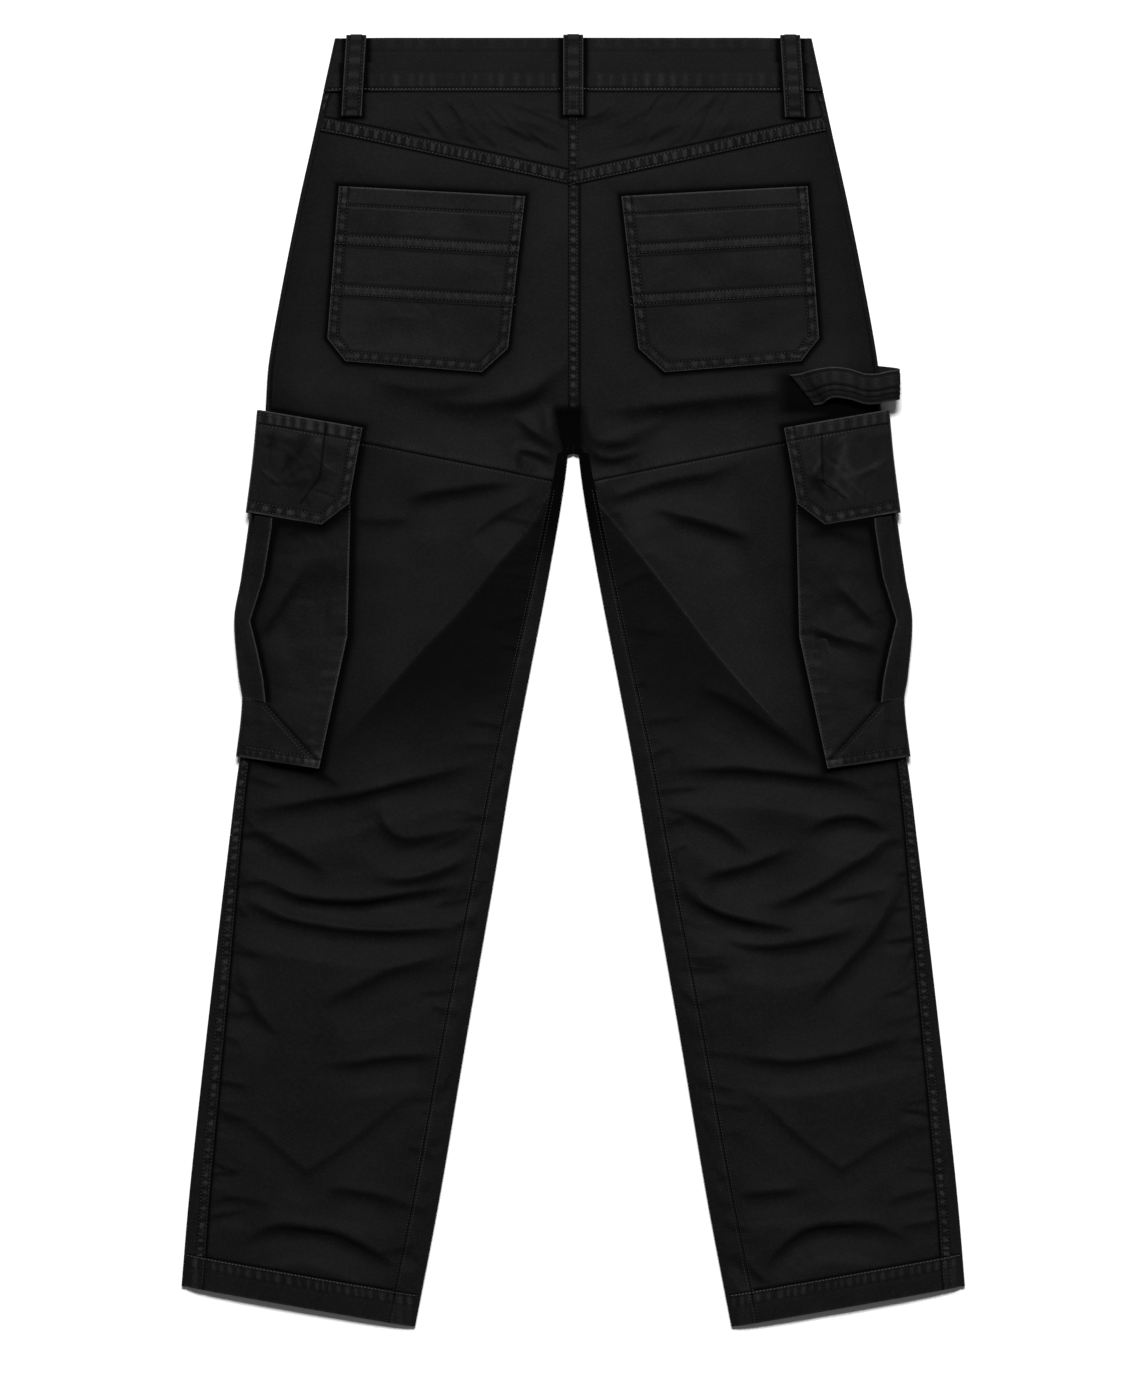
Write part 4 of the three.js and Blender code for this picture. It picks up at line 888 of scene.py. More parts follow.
def makeWaistband():
    waist = {"half": 4.2, "lapHalf": 20, "rowStep": 1.4, "columnStep": 1.6, "flat": (0.86, 0.044),
             "frontColumns": (27, 34, 42, 50, 75, 100, 125, 150, 172), "loops": (-178, 0, 178), "loopShade": 1.3}
    top, bottom = levels["waistTop"][0], levels["waistSeam"][0] + cloth["halfGap"]
    y = top - spaced(top - bottom, waist["rowStep"], (0, 0.3, 0.8, 1.6, 2.6))
    down, up = (top - y)[:, None], (y - bottom)[:, None]
    half, thick, lap = waist["half"], cloth["doubled"], waist["lapHalf"]
    turnP, middle, angles = outerEdge(y) - cloth["bendReach"], np.full(len(y), half), np.linspace(-90, 90, 11)
    # the right end of the band, which lies over the left one under the garment
    x = np.array([-lap, -lap / 2, 0, lap / 2, lap, *waist["frontColumns"]]) * np.ones((len(y), 1))
    tall = np.broadcast_to(y[:, None], x.shape)
    z = waistLow(x) + (thick + cloth["layGap"]) * (1 - ramp(lap + 4, lap + 28, x))
    leftX, leftZ = -x[:, ::-1], waistLow(x[:, ::-1])
    parts = [(x, tall, z, x, z + thick, 0 * x), bendPart(turnP, y, 1, half, middle, thick, angles)]
    left = [bendPart(-turnP, y, -1, half, middle, thick, angles[::-1]),
            (leftX, tall, leftZ, leftX, leftZ + thick, 0 * x)]
    # across the back
    x = turnP[:, None] * np.linspace(1, -1, int(2 * 203 / waist["columnStep"]))[1:-1]
    lower, upper = ramp(27, 33, down) * (1 - ramp(41.5, 43, down)), (1 - ramp(6, 12, down)) * ramp(0.8, 2, down)
    lump = np.clip(0.1 + 0.8 * ribble(x, 11, 71), 0, 1) * (0.55 + 0.45 * patchy(x, 0 * x, 34, 76))
    high = waistHigh(x, outerEdge(y)[:, None]) + 0.32 * lower * lump + 0.1 * upper * ribble(x, 14, 72)
    high += 0.22 * patchy(x, y[:, None], 16, 73) + 0.3 * patchy(x, y[:, None] * 0.4, 45, 74)
    high += edgeRoll(up, 0.9, 0.5) + edgeRoll(down, 1.6, 1) - 0.25 * hump(up - 1.8, 0.6)
    high -= 0.16 * hump(down - 11, 0.9) + 0.16 * hump(down - 29, 0.9)
    # rubbed lumps and edges are lighter; painted shade lies along the lower sewn rows
    wearAndPaintedShade = 0.35 * lower * lump + 0.6 * hump(up - 0.5, 0.7) + 0.3 * hump(down, 1.2) - 0.9 * hump(up - 2, 0.8)
    wearAndPaintedShade += 0.1 * upper * np.clip(ribble(x, 14, 72), 0, 1) - 0.15 * hump(down - 11, 0.9)
    for loop in waist["loops"]:  # painted shadow beside the belt loops
        off = np.abs(x - loop * (1 + 0.011 * (down > 20))) - 9.6
        wearAndPaintedShade -= waist["loopShade"] * hump(np.maximum(off, 0), 2.6)
    parts.append((x, np.broadcast_to(y[:, None], x.shape), high, x, high - thick, wearAndPaintedShade))
    clothPiece("waistband", *joinParts(parts + left), waist["flat"], ["floor"])


makeWaistband()
print("waistband made")


# Straps: belt loops and the hammer loop, each a strip of folded cloth along a path

def pathThrough(spots, count):  # a smooth path through points, at even steps
    spots = np.array(spots, float)
    ends = np.concatenate([[2 * spots[0] - spots[1]], spots, [2 * spots[-1] - spots[-2]]])
    fine = []
    for a, b, c, d in zip(ends, ends[1:], ends[2:], ends[3:]):
        for t in np.linspace(0, 1, 24, endpoint=False):
            fine.append(0.5 * (2 * b + (c - a) * t + (2 * a - 5 * b + 4 * c - d) * t * t
                               + (3 * b - a - 3 * c + d) * t ** 3))
    fine = np.array(fine + [spots[-1]])
    run = np.concatenate([[0], np.cumsum(np.linalg.norm(np.diff(fine, axis=0), axis=1))])
    at = np.linspace(0, run[-1], count)
    return np.stack([np.interp(at, run, fine[:, k]) for k in range(3)], axis=1), at


def strap(spots, wide, thick, acrossAxis, seed, ribs=1.0, slant=0.0, lines=()):
    rowStep = 1.2
    long = np.linalg.norm(np.diff(np.array(spots, float), axis=0), axis=1).sum()
    path, at = pathThrough(spots, int(long / rowStep))
    along = np.gradient(path, axis=0)
    along /= np.linalg.norm(along, axis=1)[:, None]
    acrossAxis = np.array(acrossAxis, float)
    normal = np.cross(acrossAxis, along)
    normal /= np.linalg.norm(normal, axis=1)[:, None]
    if normal[len(normal) // 2, 2] < 0:
        normal = -normal
    across = spaced(wide, 1.1, (0, 0.25, 0.6, 1.1, 1.8)) - wide / 2
    fromEdge, fromEnd = wide / 2 - np.abs(across), np.minimum(at, at[-1] - at)[:, None]
    rib, lump = ramp(2.6, 4, fromEdge), puckers(at, 11, seed)[:, None]
    sewn = hump(fromEdge - 2.4, 0.6)
    for line in lines:
        sewn += hump(across - line, 0.8)
    raised = 0.4 * ribs * rib * lump + 0.3 * rib - 0.35 * sewn + edgeRoll(fromEdge, 0.8, 0.6)
    raised = raised * ramp(0, 2, fromEnd) - 0.4 * hump(fromEnd - 6, 0.9) * rib
    path = np.broadcast_to(path[:, None, :], (len(at), len(across), 3)).copy()
    path[..., 0] += slant * (0.5 - across / wide) * (1 - ramp(0, 45, at))[:, None]
    path += across[None, :, None] * acrossAxis
    outer = path + normal[:, None, :] * (thick / 2 + raised[..., None])
    inner = path - normal[:, None, :] * thick / 2
    # rubbed edges and lumps are lighter; painted shade lies along the sewn rows and the fold near each end
    wearAndPaintedShade = 0.9 * hump(fromEdge, 0.7) + 0.5 * ribs * rib * (lump - 0.45) - 0.9 * sewn
    wearAndPaintedShade = wearAndPaintedShade - 0.5 * hump(fromEnd - 6, 0.9) * rib
    return outer, inner, wearAndPaintedShade


def topAt(x, y):  # the height of the back at one place, on the waistband too
    if y > levels["waistSeam"][0] - 3:
        return float(waistHigh(x, outerEdge(y)))
    return float(surface(-1 if x < 0 else 1, np.array([abs(float(x))]), np.array([float(y)]))[0])


def makeBeltLoops():
    loop = {"wide": 16.4, "thick": 1.6, "top": 528.6, "flat": (0.0164, 0.078), "frontX": 110, "frontLow": 466.2,
            "back": [("back_left", -178, -4, 464), ("back_centre", 0, 0, 464.5), ("back_right", 178, 4, 463)]}
    for number, (word, x, lean, low) in enumerate(loop["back"]):
        spots = []
        for t in np.linspace(0, 1, 9):
            y, middle = loop["top"] + (low - loop["top"]) * t, x + lean * t
            under = max(topAt(middle + dx, y + dy) for dx in (-8, 0, 8) for dy in (-4, 0, 4))
            under += cloth["layGap"] + loop["thick"] / 2 + 1.2 * math.sin(math.pi * t) ** 2
            spots.append((middle, y, under))
        high = spots[0][2]
        spots = [(x, 527.5, high - 6.2), (x, 529.8, high - 4.6), (x, 530.3, high - 1.9)] + spots
        form = strap(spots, loop["wide"], loop["thick"], (1, 0, 0), 80 + number, ribs=0.55)
        clothPiece("belt_loop_" + word, *form, loop["flat"], ["waistband"], held="folded")
    for number, (word, side) in enumerate((("front_left", -1), ("front_right", 1))):
        x = side * loop["frontX"]
        spots = [(x, 529.4, 0.9), (x, 510, 0.85), (x, 488, 0.85), (x, loop["frontLow"], 0.9)]
        form = strap(spots, loop["wide"], loop["thick"] - 0.2, (1, 0, 0), 85 + number)
        clothPiece("belt_loop_" + word, *form, loop["flat"], ["floor"], held="folded", stitched=False)


# The middle of the hammer loop, from the back pocket to the side seam: x, y, height over the leg
hammerSpots = [(177, 239, 1.3), (186, 240, 2.2), (197, 243, 6.6), (212, 245, 8.3), (226, 243.5, 9), (238, 240, 9.4),
               (249, 240, 11.2), (258, 242, 11.4), (265, 243, 9.8), (267, 244, 7.8), (264.5, 245, 5.6),
               (257, 246, 4.2), (249, 247, 2.1)]


def makeHammerLoop():
    hammer = {"wide": 25, "thick": 1.6, "flat": (0.025, 0.125), "slant": 20, "lines": (-1.5, -6.5)}
    spots = [(x, y, topAt(x, y) + above) for x, y, above in hammerSpots]
    form = strap(spots, hammer["wide"], hammer["thick"], (0, 1, 0), 90, 0.35, hammer["slant"], hammer["lines"])
    clothPiece("hammer_loop", *form, hammer["flat"], ["cargo_flap_right"], held="folded")


makeBeltLoops()
makeHammerLoop()
print("loops made")


# Pieces sewn on the panels, each between a left and a right edge given from top to bottom

def between(spots, share):  # a place along a bent line given by its corners, at shares that the corners set
    spots = np.array(spots, float)
    at = np.linspace(0, 1, len(spots)) if spots.shape[1] == 2 else spots[:, 2]
    return np.stack([np.interp(share, at, spots[:, k]) for k in (0, 1)], axis=-1)


def patchGrid(leftSpots, rightSpots, tall, step, rowEdge, columnEdge):
    share = spaced(tall, step, rowEdge) / tall
    left, right = between(leftSpots, share), between(rightSpots, share)
    wide = np.linalg.norm(left - right, axis=1)[:, None]
    across = columns(wide[:, 0], step, columnEdge) / wide
    p, y = (left[:, k:k + 1] + (right - left)[:, k:k + 1] * across for k in (0, 1))
    return p, y, across, wide


def makeBackPocket(side):
    pocket = {
        "bands": [(367.6, 358.9, 9.5), (326.1, 317, 9.5)],  # upper edge's y at p 195 and at p 46, and width
        "tall": 148, "foot": 0.87, "hemDrop": 15, "inset": 8, "rise": 1.5, "step": 1.25, "flat": (0.153, 0.152),
        "rowEdge": (0, 0.3, 0.8, 1.5, 2.5), "columnEdge": (0, 0.3, 0.8, 1.5, 2.4, 3.6, 5, 6.4, 7.6, 8.6, 10),
    }
    corners, foot, inset, drop = outlines["backPocket"], pocket["foot"], pocket["inset"], pocket["hemDrop"]
    outerTop, innerTop, innerLow, innerFoot, outerFoot, outerLow = corners
    left, right = ([(*top, 0), (*low, foot), (*end, 1)] for top, low, end in
                   ((outerTop, outerLow, outerFoot), (innerTop, innerLow, innerFoot)))
    p, y, _, _ = patchGrid(left, right, pocket["tall"], pocket["step"], pocket["rowEdge"], pocket["columnEdge"])
    edge, low = outlineDistance(p, y, corners), outlineDistance(p, y, corners, openEnds=(0,))
    top = np.abs(fromLine(p, y, innerTop, outerTop))
    rim = ramp(0.6, 1.8, low) * (1 - ramp(inset - 0.9, inset + 0.1, low)) * ramp(0, 3, top)
    rimLump = puckers(np.where(np.abs(p - 120) > 60, y, p) + 0.2 * low, 9.5, 101 + side)
    sewn = hump(low - 1.9, 0.6) + hump(low - inset, 0.7)
    hem, hemLump = 1 - ramp(drop - 1, drop + 0.6, top), ribble(p, 7, 103 + side)
    knots = hump(top - drop + 3, 5) * ramp(1.8, 3, low) * (1 - ramp(inset + 1, inset + 3, low))
    height = 0.6 * rim * rimLump - 0.35 * sewn + 0.3 * hem * (1 - 0.5 * rim) + 0.5 * knots
    height += 0.16 * hem * hemLump * hump(top - drop + 4, 4) - 0.35 * hump(top - drop, 0.7)
    # rubbed rims and edges are lighter; painted shade lies along the sewn rows, the hem's fold and the bands' edges
    wearAndPaintedShade = rim * (0.75 * rimLump - 0.38) * (0.7 + 0.3 * patchy(p, y, 24, 109)) + hump(edge, 0.8) - 0.85 * sewn
    wearAndPaintedShade += 0.25 * knots + 0.3 * hump(top - drop - 1.6, 0.7) - 0.85 * hump(top - drop, 0.8)
    for number, (atOuter, atInner, deep) in enumerate(pocket["bands"]):
        under = atInner + (atOuter - atInner) * (p - 46) / 149 - y
        band, bandWearAndPaintedShade = felled(under, p, deep, 105 + side + number * 7, high=0.7, lumpy=0.4)
        height += band
        wearAndPaintedShade += np.where(bandWearAndPaintedShade > 0, 0.3, 0.9) * bandWearAndPaintedShade + 0.35 * hump(under - deep + 0.4, 0.6)
        wearAndPaintedShade -= 0.7 * hump(under - deep - 0.9, 0.7) + 0.5 * hump(under + 0.8, 0.8)
    creases = crumple(151 + side, 14, (70, 275), (185, 385), (14, 40), (1.6, 4), (0.1, 0.35))
    puff = 0.45 * patchy(p, y, 26, 107 + side) + 0.25 * patchy(p, y, 11, 108 + side) + foldRelief(creases, p, y, 2)
    fade = np.clip(0.5 + patchy(p, y, 27, 153 + side) + 0.4 * patchy(p, y, 9, 155), 0, 1)
    wearAndPaintedShade += 0.05 * fade * ramp(9, 12, low)
    base = surface(side, p, y)
    z = base + pocket["rise"] + height + puff * ramp(6, 16, edge) + edgeRoll(edge, 1, 0.7)
    outer = np.stack([side * p, y, z], axis=-1)
    inner = np.stack([side * p, y, np.minimum(base + cloth["layGap"], z - 0.6)], axis=-1)
    clothPiece(sided("back_pocket", side), outer, inner, wearAndPaintedShade, pocket["flat"], [sided("seat", side)])


def sewnBase(side, p, y):  # the leg under a cargo piece, levelled out softly towards the outer fold
    limit, soft = outerEdge(y) - 16, 10
    over = np.clip((p - limit) / soft + 1, 0, 2)
    inside = np.where(p < limit - soft, p, limit - soft + soft * (over - over * over / 4))
    return surface(side, np.minimum(inside, limit), y) - 2.2 * ramp(-14, 6, p - outerEdge(y))


def makeCargoPiece(side, word, piece, relief):  # out from its inner edge, round the outer fold and under the leg
    innerPlaces, outerY, thick = piece["inner"], piece["outerY"], piece["thick"]
    outward = np.stack([piece["edge"](outerY), outerY], axis=1) - innerPlaces
    wide = np.linalg.norm(outward, axis=1)
    outward /= wide[:, None]
    across = columns(wide - cloth["bendReach"], piece["step"], piece["columnEdge"])
    p, y = (innerPlaces[:, k:k + 1] + outward[:, k:k + 1] * across for k in (0, 1))
    height, wearAndPaintedShade = relief(p, y, across)
    high = sewnBase(side, p, y) + piece["rise"](p, y) + thick + height
    parts = [(p, y, high, p, high - thick, wearAndPaintedShade)]
    turnP, turnY, top = p[:, -1], y[:, -1], high[:, -1]
    low = np.maximum(frontLift(outerEdge(turnY), turnY) - piece["fall"], 0)
    angles = np.linspace(90, -90, 13)[1:]
    parts.append(bendPart(turnP, turnY, 1, (top - low) / 2, (top + low) / 2, thick, angles))
    back = np.linspace(0, piece["under"], 10)[None, 1:]
    p, y = turnP[:, None] - back, turnY[:, None] - back * (outward[:, 1:] / outward[:, :1])
    z = np.maximum(frontLift(p, y) - piece["fall"], 0)
    parts.append((p, y, z, p, z + thick, 0 * p))
    clothPiece(sided(word, side), *joinParts(parts, side), piece["flat"], [sided("back_leg", side)],
               area=piece.get("area"))


def bagTop(p, y):
    middle = np.exp(-((p - 225) / 30) ** 2 - ((y - 40) / 70) ** 2)
    return 3.4 + 0.6 * middle - 1.6 * ramp(250, 262, p)


def flapTop(p, y):
    seam = 222 - (254 - p) * 0.178
    return 0.7 + (5.5 - 0.7) * ramp(2, 20, seam - y)


def makeCargoBag(side):
    bag = {"tall": 258, "rowStep": 1.9, "step": 2, "thick": 1.2, "rise": bagTop, "fall": 1.5, "under": 80, "hem": 14,
           "edge": bagEdge, "columnEdge": (0, 0.3, 0.8, 1.5, 2.4, 3.6, 5.2, 7), "flat": (0.19, 0.27), "area": 0.046}
    share = spaced(bag["tall"], bag["rowStep"], (0, 0.3, 0.8, 1.5, 2.5, 4)) / bag["tall"]
    bag["inner"] = between([(181, 187, 0), (185, 37, 0.581), (208, -71, 1)], share)
    bag["outerY"] = np.interp(share, [0, 1], [203, -61])
    bagCreases = crumple(141 + side, 26, (190, -60), (262, 130), (12, 46), (1.6, 4), (0.15, 0.6))
    troughs = {
        -1: [((218, 96), (238, 62), (258, 34), 12, 4), ((188, 132), (215, 128), (238, 118), 9, 2)],
        1: [((214, 78), (232, 60), (248, 44), 10, 4), ((196, 42), (222, 33), (252, 26), 8, 3.4),
            ((190, 118), (212, 122), (238, 112), 9, 2)],
    }

    def relief(p, y, fromInner):
        fromBottom = (y + 71 - (p - 208) * 0.159) * 0.985
        strip = 1 - ramp(bag["hem"] - 0.6, bag["hem"] + 0.8, fromInner)
        lump = ribble(y, 11, 111 + side) * (0.5 + 0.5 * patchy(p, y, 40, 119))
        foot, footLump = ramp(1.4, 2.6, fromBottom) * (1 - ramp(6, 7.6, fromBottom)), puckers(p, 6, 113 + side)
        tab = ramp(252, 254, p) * ramp(-34, -32.6, y) * (1 - ramp(-14, -12.6, y))
        diagonal = np.where((y > -64) & (y < -18), fromLine(p, y, (252, -19), (213, -62)), 50)
        corner = hump(p - 213, 7) * hump(y + 63, 6)
        height = 0.2 * strip + 0.2 * strip * lump - 0.1 * hump(fromInner - bag["hem"], 0.7)
        height += edgeRoll(fromInner, 0.9, 0.6) + edgeRoll(fromBottom, 0.9, 0.7)
        height += 0.45 * foot * footLump - 0.35 * hump(fromBottom - 7.8, 0.7)
        height += 0.9 * tab + 0.5 * corner - 0.35 * hump(diagonal, 1.4)
        height -= 1.7 * hump(y - 37.5 + fromInner * 0.12, 3.2) * np.exp(-fromInner / (9 if side < 0 else 30))
        height += foldRelief(troughs[side], p, y) + foldRelief(bagCreases, p, y, 2) * ramp(2, 9, fromInner)
        height += 0.9 * patchy(p, y, 26, 115 + side) + 0.3 * patchy(p, y, 9, 117 + side)
        # rubbed edges and lumps are lighter; painted shade lies along the sewn rows
        wearAndPaintedShade = hump(fromInner, 0.8) + 0.6 * hump(fromBottom, 0.9) + foot * (0.5 * footLump - 0.35)
        wearAndPaintedShade += 0.2 * strip * np.clip(lump, 0, 1) + 0.5 * corner
        wearAndPaintedShade -= 0.6 * hump(fromBottom - 7.8, 0.8) + 0.8 * hump(diagonal - 1.2, 2)
        # painted shadow under the pleat's lip and below the flap
        lip = p - np.interp(y, [-17, 2, 26, 50, 86, 126, 140], [252, 254, 259, 265, 253.5, 247, 246])
        wearAndPaintedShade -= 1.2 * hump(np.minimum(lip + 1, 0), 3.6) * ramp(-20, -14, y) * (1 - ramp(-2, 4, lip))
        wearAndPaintedShade -= 0.25 * hump(lip + 6, 14) * ramp(-20, -14, y)
        wearAndPaintedShade -= beside(p, y, "flap", 7) * (1 - ramp(-5, 5, outlineDistance(p, y, outlines["flap"]) - 20))
        return height, wearAndPaintedShade

    makeCargoPiece(side, "cargo_bag", bag, relief)


# The row sewn through each flap, which holds something behind it: p and y from the top down
flapRow = {-1: ((202, 207, 224), (212, 168, 145)), 1: ((203, 204, 222.8), (203, 163.5, 149.7))}


def makeCargoFlap(side):
    flap = {"tall": 85, "rowStep": 1.4, "step": 1.3, "thick": 1.5, "rise": flapTop, "fall": 3.3, "under": 80,
            "edge": flapEdge, "columnEdge": (0, 0.3, 0.8, 1.5, 2.4, 3.6, 5, 6.4, 7.6, 8.6, 10), "inset": 8,
            "band": 11, "flat": (0.175, 0.085)}
    share = spaced(flap["tall"], flap["rowStep"], (0, 0.3, 0.8, 1.5, 2.5)) / flap["tall"]
    flap["inner"] = between([(172.5, 208, 0), (183.5, 145.5, 0.79), (206, 128.5, 1)], share)
    flap["outerY"] = np.interp(share, [0, 0.79, 1], [223.5, 156, 139.5])
    corners, inset, deep = outlines["flap"], flap["inset"], flap["band"]
    flapCreases = crumple(161 + side, 7, (195, 150), (252, 210), (30, 60), (4, 7), (0.35, 0.8))
    flapCreases += crumple(129 + side, 26, (190, 143), (252, 210), (8, 46), (1.1, 3.2), (0.2, 0.7))
    rowP, rowY = flapRow[side]

    def relief(p, y, fromInner):
        edge, low = (outlineDistance(p, y, corners, openEnds=ends) for ends in ((3,), (3, 4)))
        top = np.abs(fromLine(p, y, corners[0], corners[4]))
        rim = ramp(0.6, 1.8, low) * (1 - ramp(inset - 0.9, inset + 0.1, low)) * ramp(0, 3, top)
        lump = puckers(np.where(p < 190, y, p) + 0.2 * low, 10, 121 + side)
        band, bandLump = ramp(1, 2.4, top) * (1 - ramp(deep - 1.4, deep, top)), puckers(p, 9, 123 + side)
        uneven = 0.75 + 0.45 * patchy(p, y, 22, 125 + side)
        body, creases = ramp(inset, inset + 5, low) * ramp(deep, deep + 5, top), foldRelief(flapCreases, p, y, 1.5)
        through = hump(p - np.interp(y, rowY[::-1], rowP[::-1]), 0.9) * (y < rowY[0]) * (y > rowY[-1])
        height = 0.45 * rim * lump + 0.5 * band * bandLump + creases * body + 0.4 * patchy(p, y, 20, 127 + side)
        height += edgeRoll(edge, 1, 0.8)
        height -= 0.35 * (hump(low - 1.9, 0.6) + hump(low - inset, 0.7) + hump(top - deep, 0.7))
        # rubbed edges, lumps and crease crests are lighter; painted shade lies in the creases' troughs, along the sewn
        # rows and on the row sewn through
        wearAndPaintedShade = 0.95 * hump(edge, 0.8) + (rim * (0.65 * lump - 0.3) + band * (0.6 * bandLump - 0.33)) * uneven
        wearAndPaintedShade -= 0.85 * hump(low - inset, 0.8) + 0.85 * hump(top - deep, 0.8) + 0.6 * hump(low - 1.9, 0.6)
        wearAndPaintedShade += body * (0.25 * np.clip(creases - 0.2, 0, 0.5) - 0.5 * np.clip(-creases, 0, 1)) - 0.8 * through
        return height, wearAndPaintedShade

    makeCargoPiece(side, "cargo_flap", flap, relief)


def simplePatch(side, word, left, right, tall, step, rise, thick, flat, below, wearEdges=0.3, oneEdge=False):
    p, y, across, wide = patchGrid(left, right, tall, step, (0, 0.4, 1), (0, 0.4, 1))
    edge = (across if oneEdge else np.minimum(across, 1 - across)) * wide
    z = rise(p, y) + thick + edgeRoll(edge, 0.8, 0.5)
    outer = np.stack([side * p, y, z], axis=-1)
    inner = outer - np.array([0, 0, thick])
    clothPiece(sided(word, side), outer, inner, wearEdges * hump(edge, 0.8), flat, [sided(below, side)], held="folded")


def makeGusset(side):
    left = [(182.5, 180, 0), (186.5, 38, 0.57), (209.5, -68.5, 1)]
    right = [(203, 180, 0), (206, 40, 0.57), (240, -62, 1)]
    rise = lambda p, y: surface(side, p, y) + cloth["layGap"] + 0.5 * ribble(y, 9, 131 + side)
    simplePatch(side, "cargo_gusset", left, right, 250, 3, rise, 1.4, (0.027, 0.25), "back_leg")


def makePleat(side):
    left = [(246.5, 134, 0), (247, 126, 0.05), (253.5, 86, 0.32), (265, 50, 0.57), (259, 26, 0.72), (254, 2, 0.88),
            (252, -17, 1)]
    right = [(261, 136.5, 0), (262, 126, 0.05), (268, 86, 0.32), (273, 50, 0.57), (272, 26, 0.72), (270, 5, 0.88),
             (268, -14, 1)]
    lipY, lipP = [spot[1] for spot in left[::-1]], [spot[0] for spot in left[::-1]]

    def rise(p, y):
        slope = 1.5 * ramp(0.3, 1.05, (p - np.interp(y, lipY, lipP)) / 14)
        return sewnBase(side, p, y) + bagTop(p, y) + 1.7 - slope + 0.3 * patchy(p, y, 12, 133 + side)

    simplePatch(side, "cargo_pleat", left, right, 151, 1.2, rise, 1.2, (0.018, 0.155), "cargo_bag", 0.8, oneEdge=True)


def makeFlyShield():
    shield = {"thick": 1.2, "flat": (0.044, 0.175), "left": -8,
              "right": [(483, 36), (446, 36), (408, 36), (350, 36), (328, 28), (312, 12)]}
    y = np.linspace(483, 312, 60)[:, None]
    stop = np.interp(-y, [-row[0] for row in shield["right"]], [row[1] for row in shield["right"]])
    start = shield["left"] + np.clip((328 - y) / 16, 0, 1)  # its foot is rounded off at this side too
    x = start + (stop - start) * np.linspace(0, 1, 14)
    z = frontLift(np.abs(x), y) + cloth["thick"] + 0.6
    inner = np.stack([x, np.broadcast_to(y, x.shape), z], axis=-1)
    clothPiece("fly_shield", inner + np.array([0, 0, shield["thick"]]), inner, 0 * x, shield["flat"], ["front_left"],
               held="folded", stitched=False)


for side in words:
    makeBackPocket(side)
    makeGusset(side)
    makeCargoBag(side)
    makePleat(side)
    makeCargoFlap(side)
makeFlyShield()
print("pockets made")


# Sewing: every stitch is a short thread laid on whatever cloth is there

def pileOf(pieces):
    points, faces = [], []
    for piece in pieces:
        start = len(points)
        points.extend(vertex.co.copy() for vertex in piece.data.vertices)
        faces.extend([start + v for v in face.vertices] for face in piece.data.polygons)
    return BVHTree.FromPolygons(points, faces)


pile = pileOf(visible)
stitch = {"pitch": 3, "long": 2.1, "thick": 0.62, "above": 0.12}
rowsSewn = {}  # for each sewing object, its sewn lines as points, with their pitch and paleness


def sew(name, line, pitch=None, pale=0.35):
    rowsSewn.setdefault(name, []).append((np.array(line, float), pitch or stitch["pitch"], pale))


def drop(x, y):
    hit = pile.ray_cast(Vector((x * mm, y * mm, 0.2)), Vector((0, 0, -1)))
    return None if hit[0] is None else (np.array(hit[0]) / mm, np.array(hit[1]))


def stitchEnds(line, run, at):  # where a stitch goes into the cloth and comes out of it
    ends = [drop(*(np.interp(spot, run, line[:, k]) for k in (0, 1)))
            for spot in (at - stitch["long"] / 2, at + stitch["long"] / 2)]
    if None in ends or np.linalg.norm(ends[1][0] - ends[0][0]) > 1.6 * stitch["long"]:
        return None
    return ends


def sewAll():
    sides, radius, sunk = 4, stitch["thick"] / 2, 0.25
    for name, lines in rowsSewn.items():
        points, quads, tris, tones = [], [], [], []
        for line, pitch, pale in lines:
            run = np.concatenate([[0], np.cumsum(np.linalg.norm(np.diff(line, axis=0), axis=1))])
            for at in np.arange(pitch / 2, run[-1] - pitch / 2, pitch):
                ends = stitchEnds(line, run, at)
                if ends is None:
                    continue
                (a, normalA), (b, normalB) = ends
                along, normal = (v / np.linalg.norm(v) for v in (b - a, normalA + normalB))
                across = np.cross(along, normal)
                across /= np.linalg.norm(across)
                start = len(points)
                points.append(a - normal * sunk)
                for share in (0.28, 0.72):
                    centre = a + (b - a) * share + normal * stitch["above"]
                    for k in range(sides):
                        turn = math.tau * (k + 0.5) / sides
                        points.append(centre + radius * (across * math.cos(turn) + normal * math.sin(turn)))
                points.append(b - normal * sunk)
                tones.extend([pale] * (2 + 2 * sides))
                near, far = start + 1, start + 1 + sides
                for k in range(sides):
                    n = (k + 1) % sides
                    tris += [(start, near + k, near + n), (far + sides, far + n, far + k)]
                    quads.append((near + k, far + k, far + n, near + n))
        made = makeObject(name, np.array(points), [np.array(quads), np.array(tris)], np.array(tones), thread)
        print("sewn", name, len(points) // (2 + 2 * sides))


def yokeRow(side, above):
    outerY, innerY = (y + above for y in levels["yokeSeam"])
    full = outerEdge(outerY)
    outerP, innerP = full - sideSeamIn(outerY), 4.6 if side < 0 else -3.6
    p = outerP + (innerP - outerP) * np.linspace(0, 1, 60)
    return np.stack([side * p, outerY + (innerY - outerY) * (full - p) / full], axis=1)


def crossRow(side, seam, below, outerIn, innerIn, count):  # a row just below a seam across the leg
    outerY, innerY = levels[seam]
    full = outerEdge(outerY) - innerEdge(innerY)
    p = np.linspace(outerEdge(outerY) - outerIn, innerEdge(innerY) + innerIn, count)
    return np.stack([side * p, outerY + (innerY - outerY) * (outerEdge(outerY) - p) / full - below], axis=1)


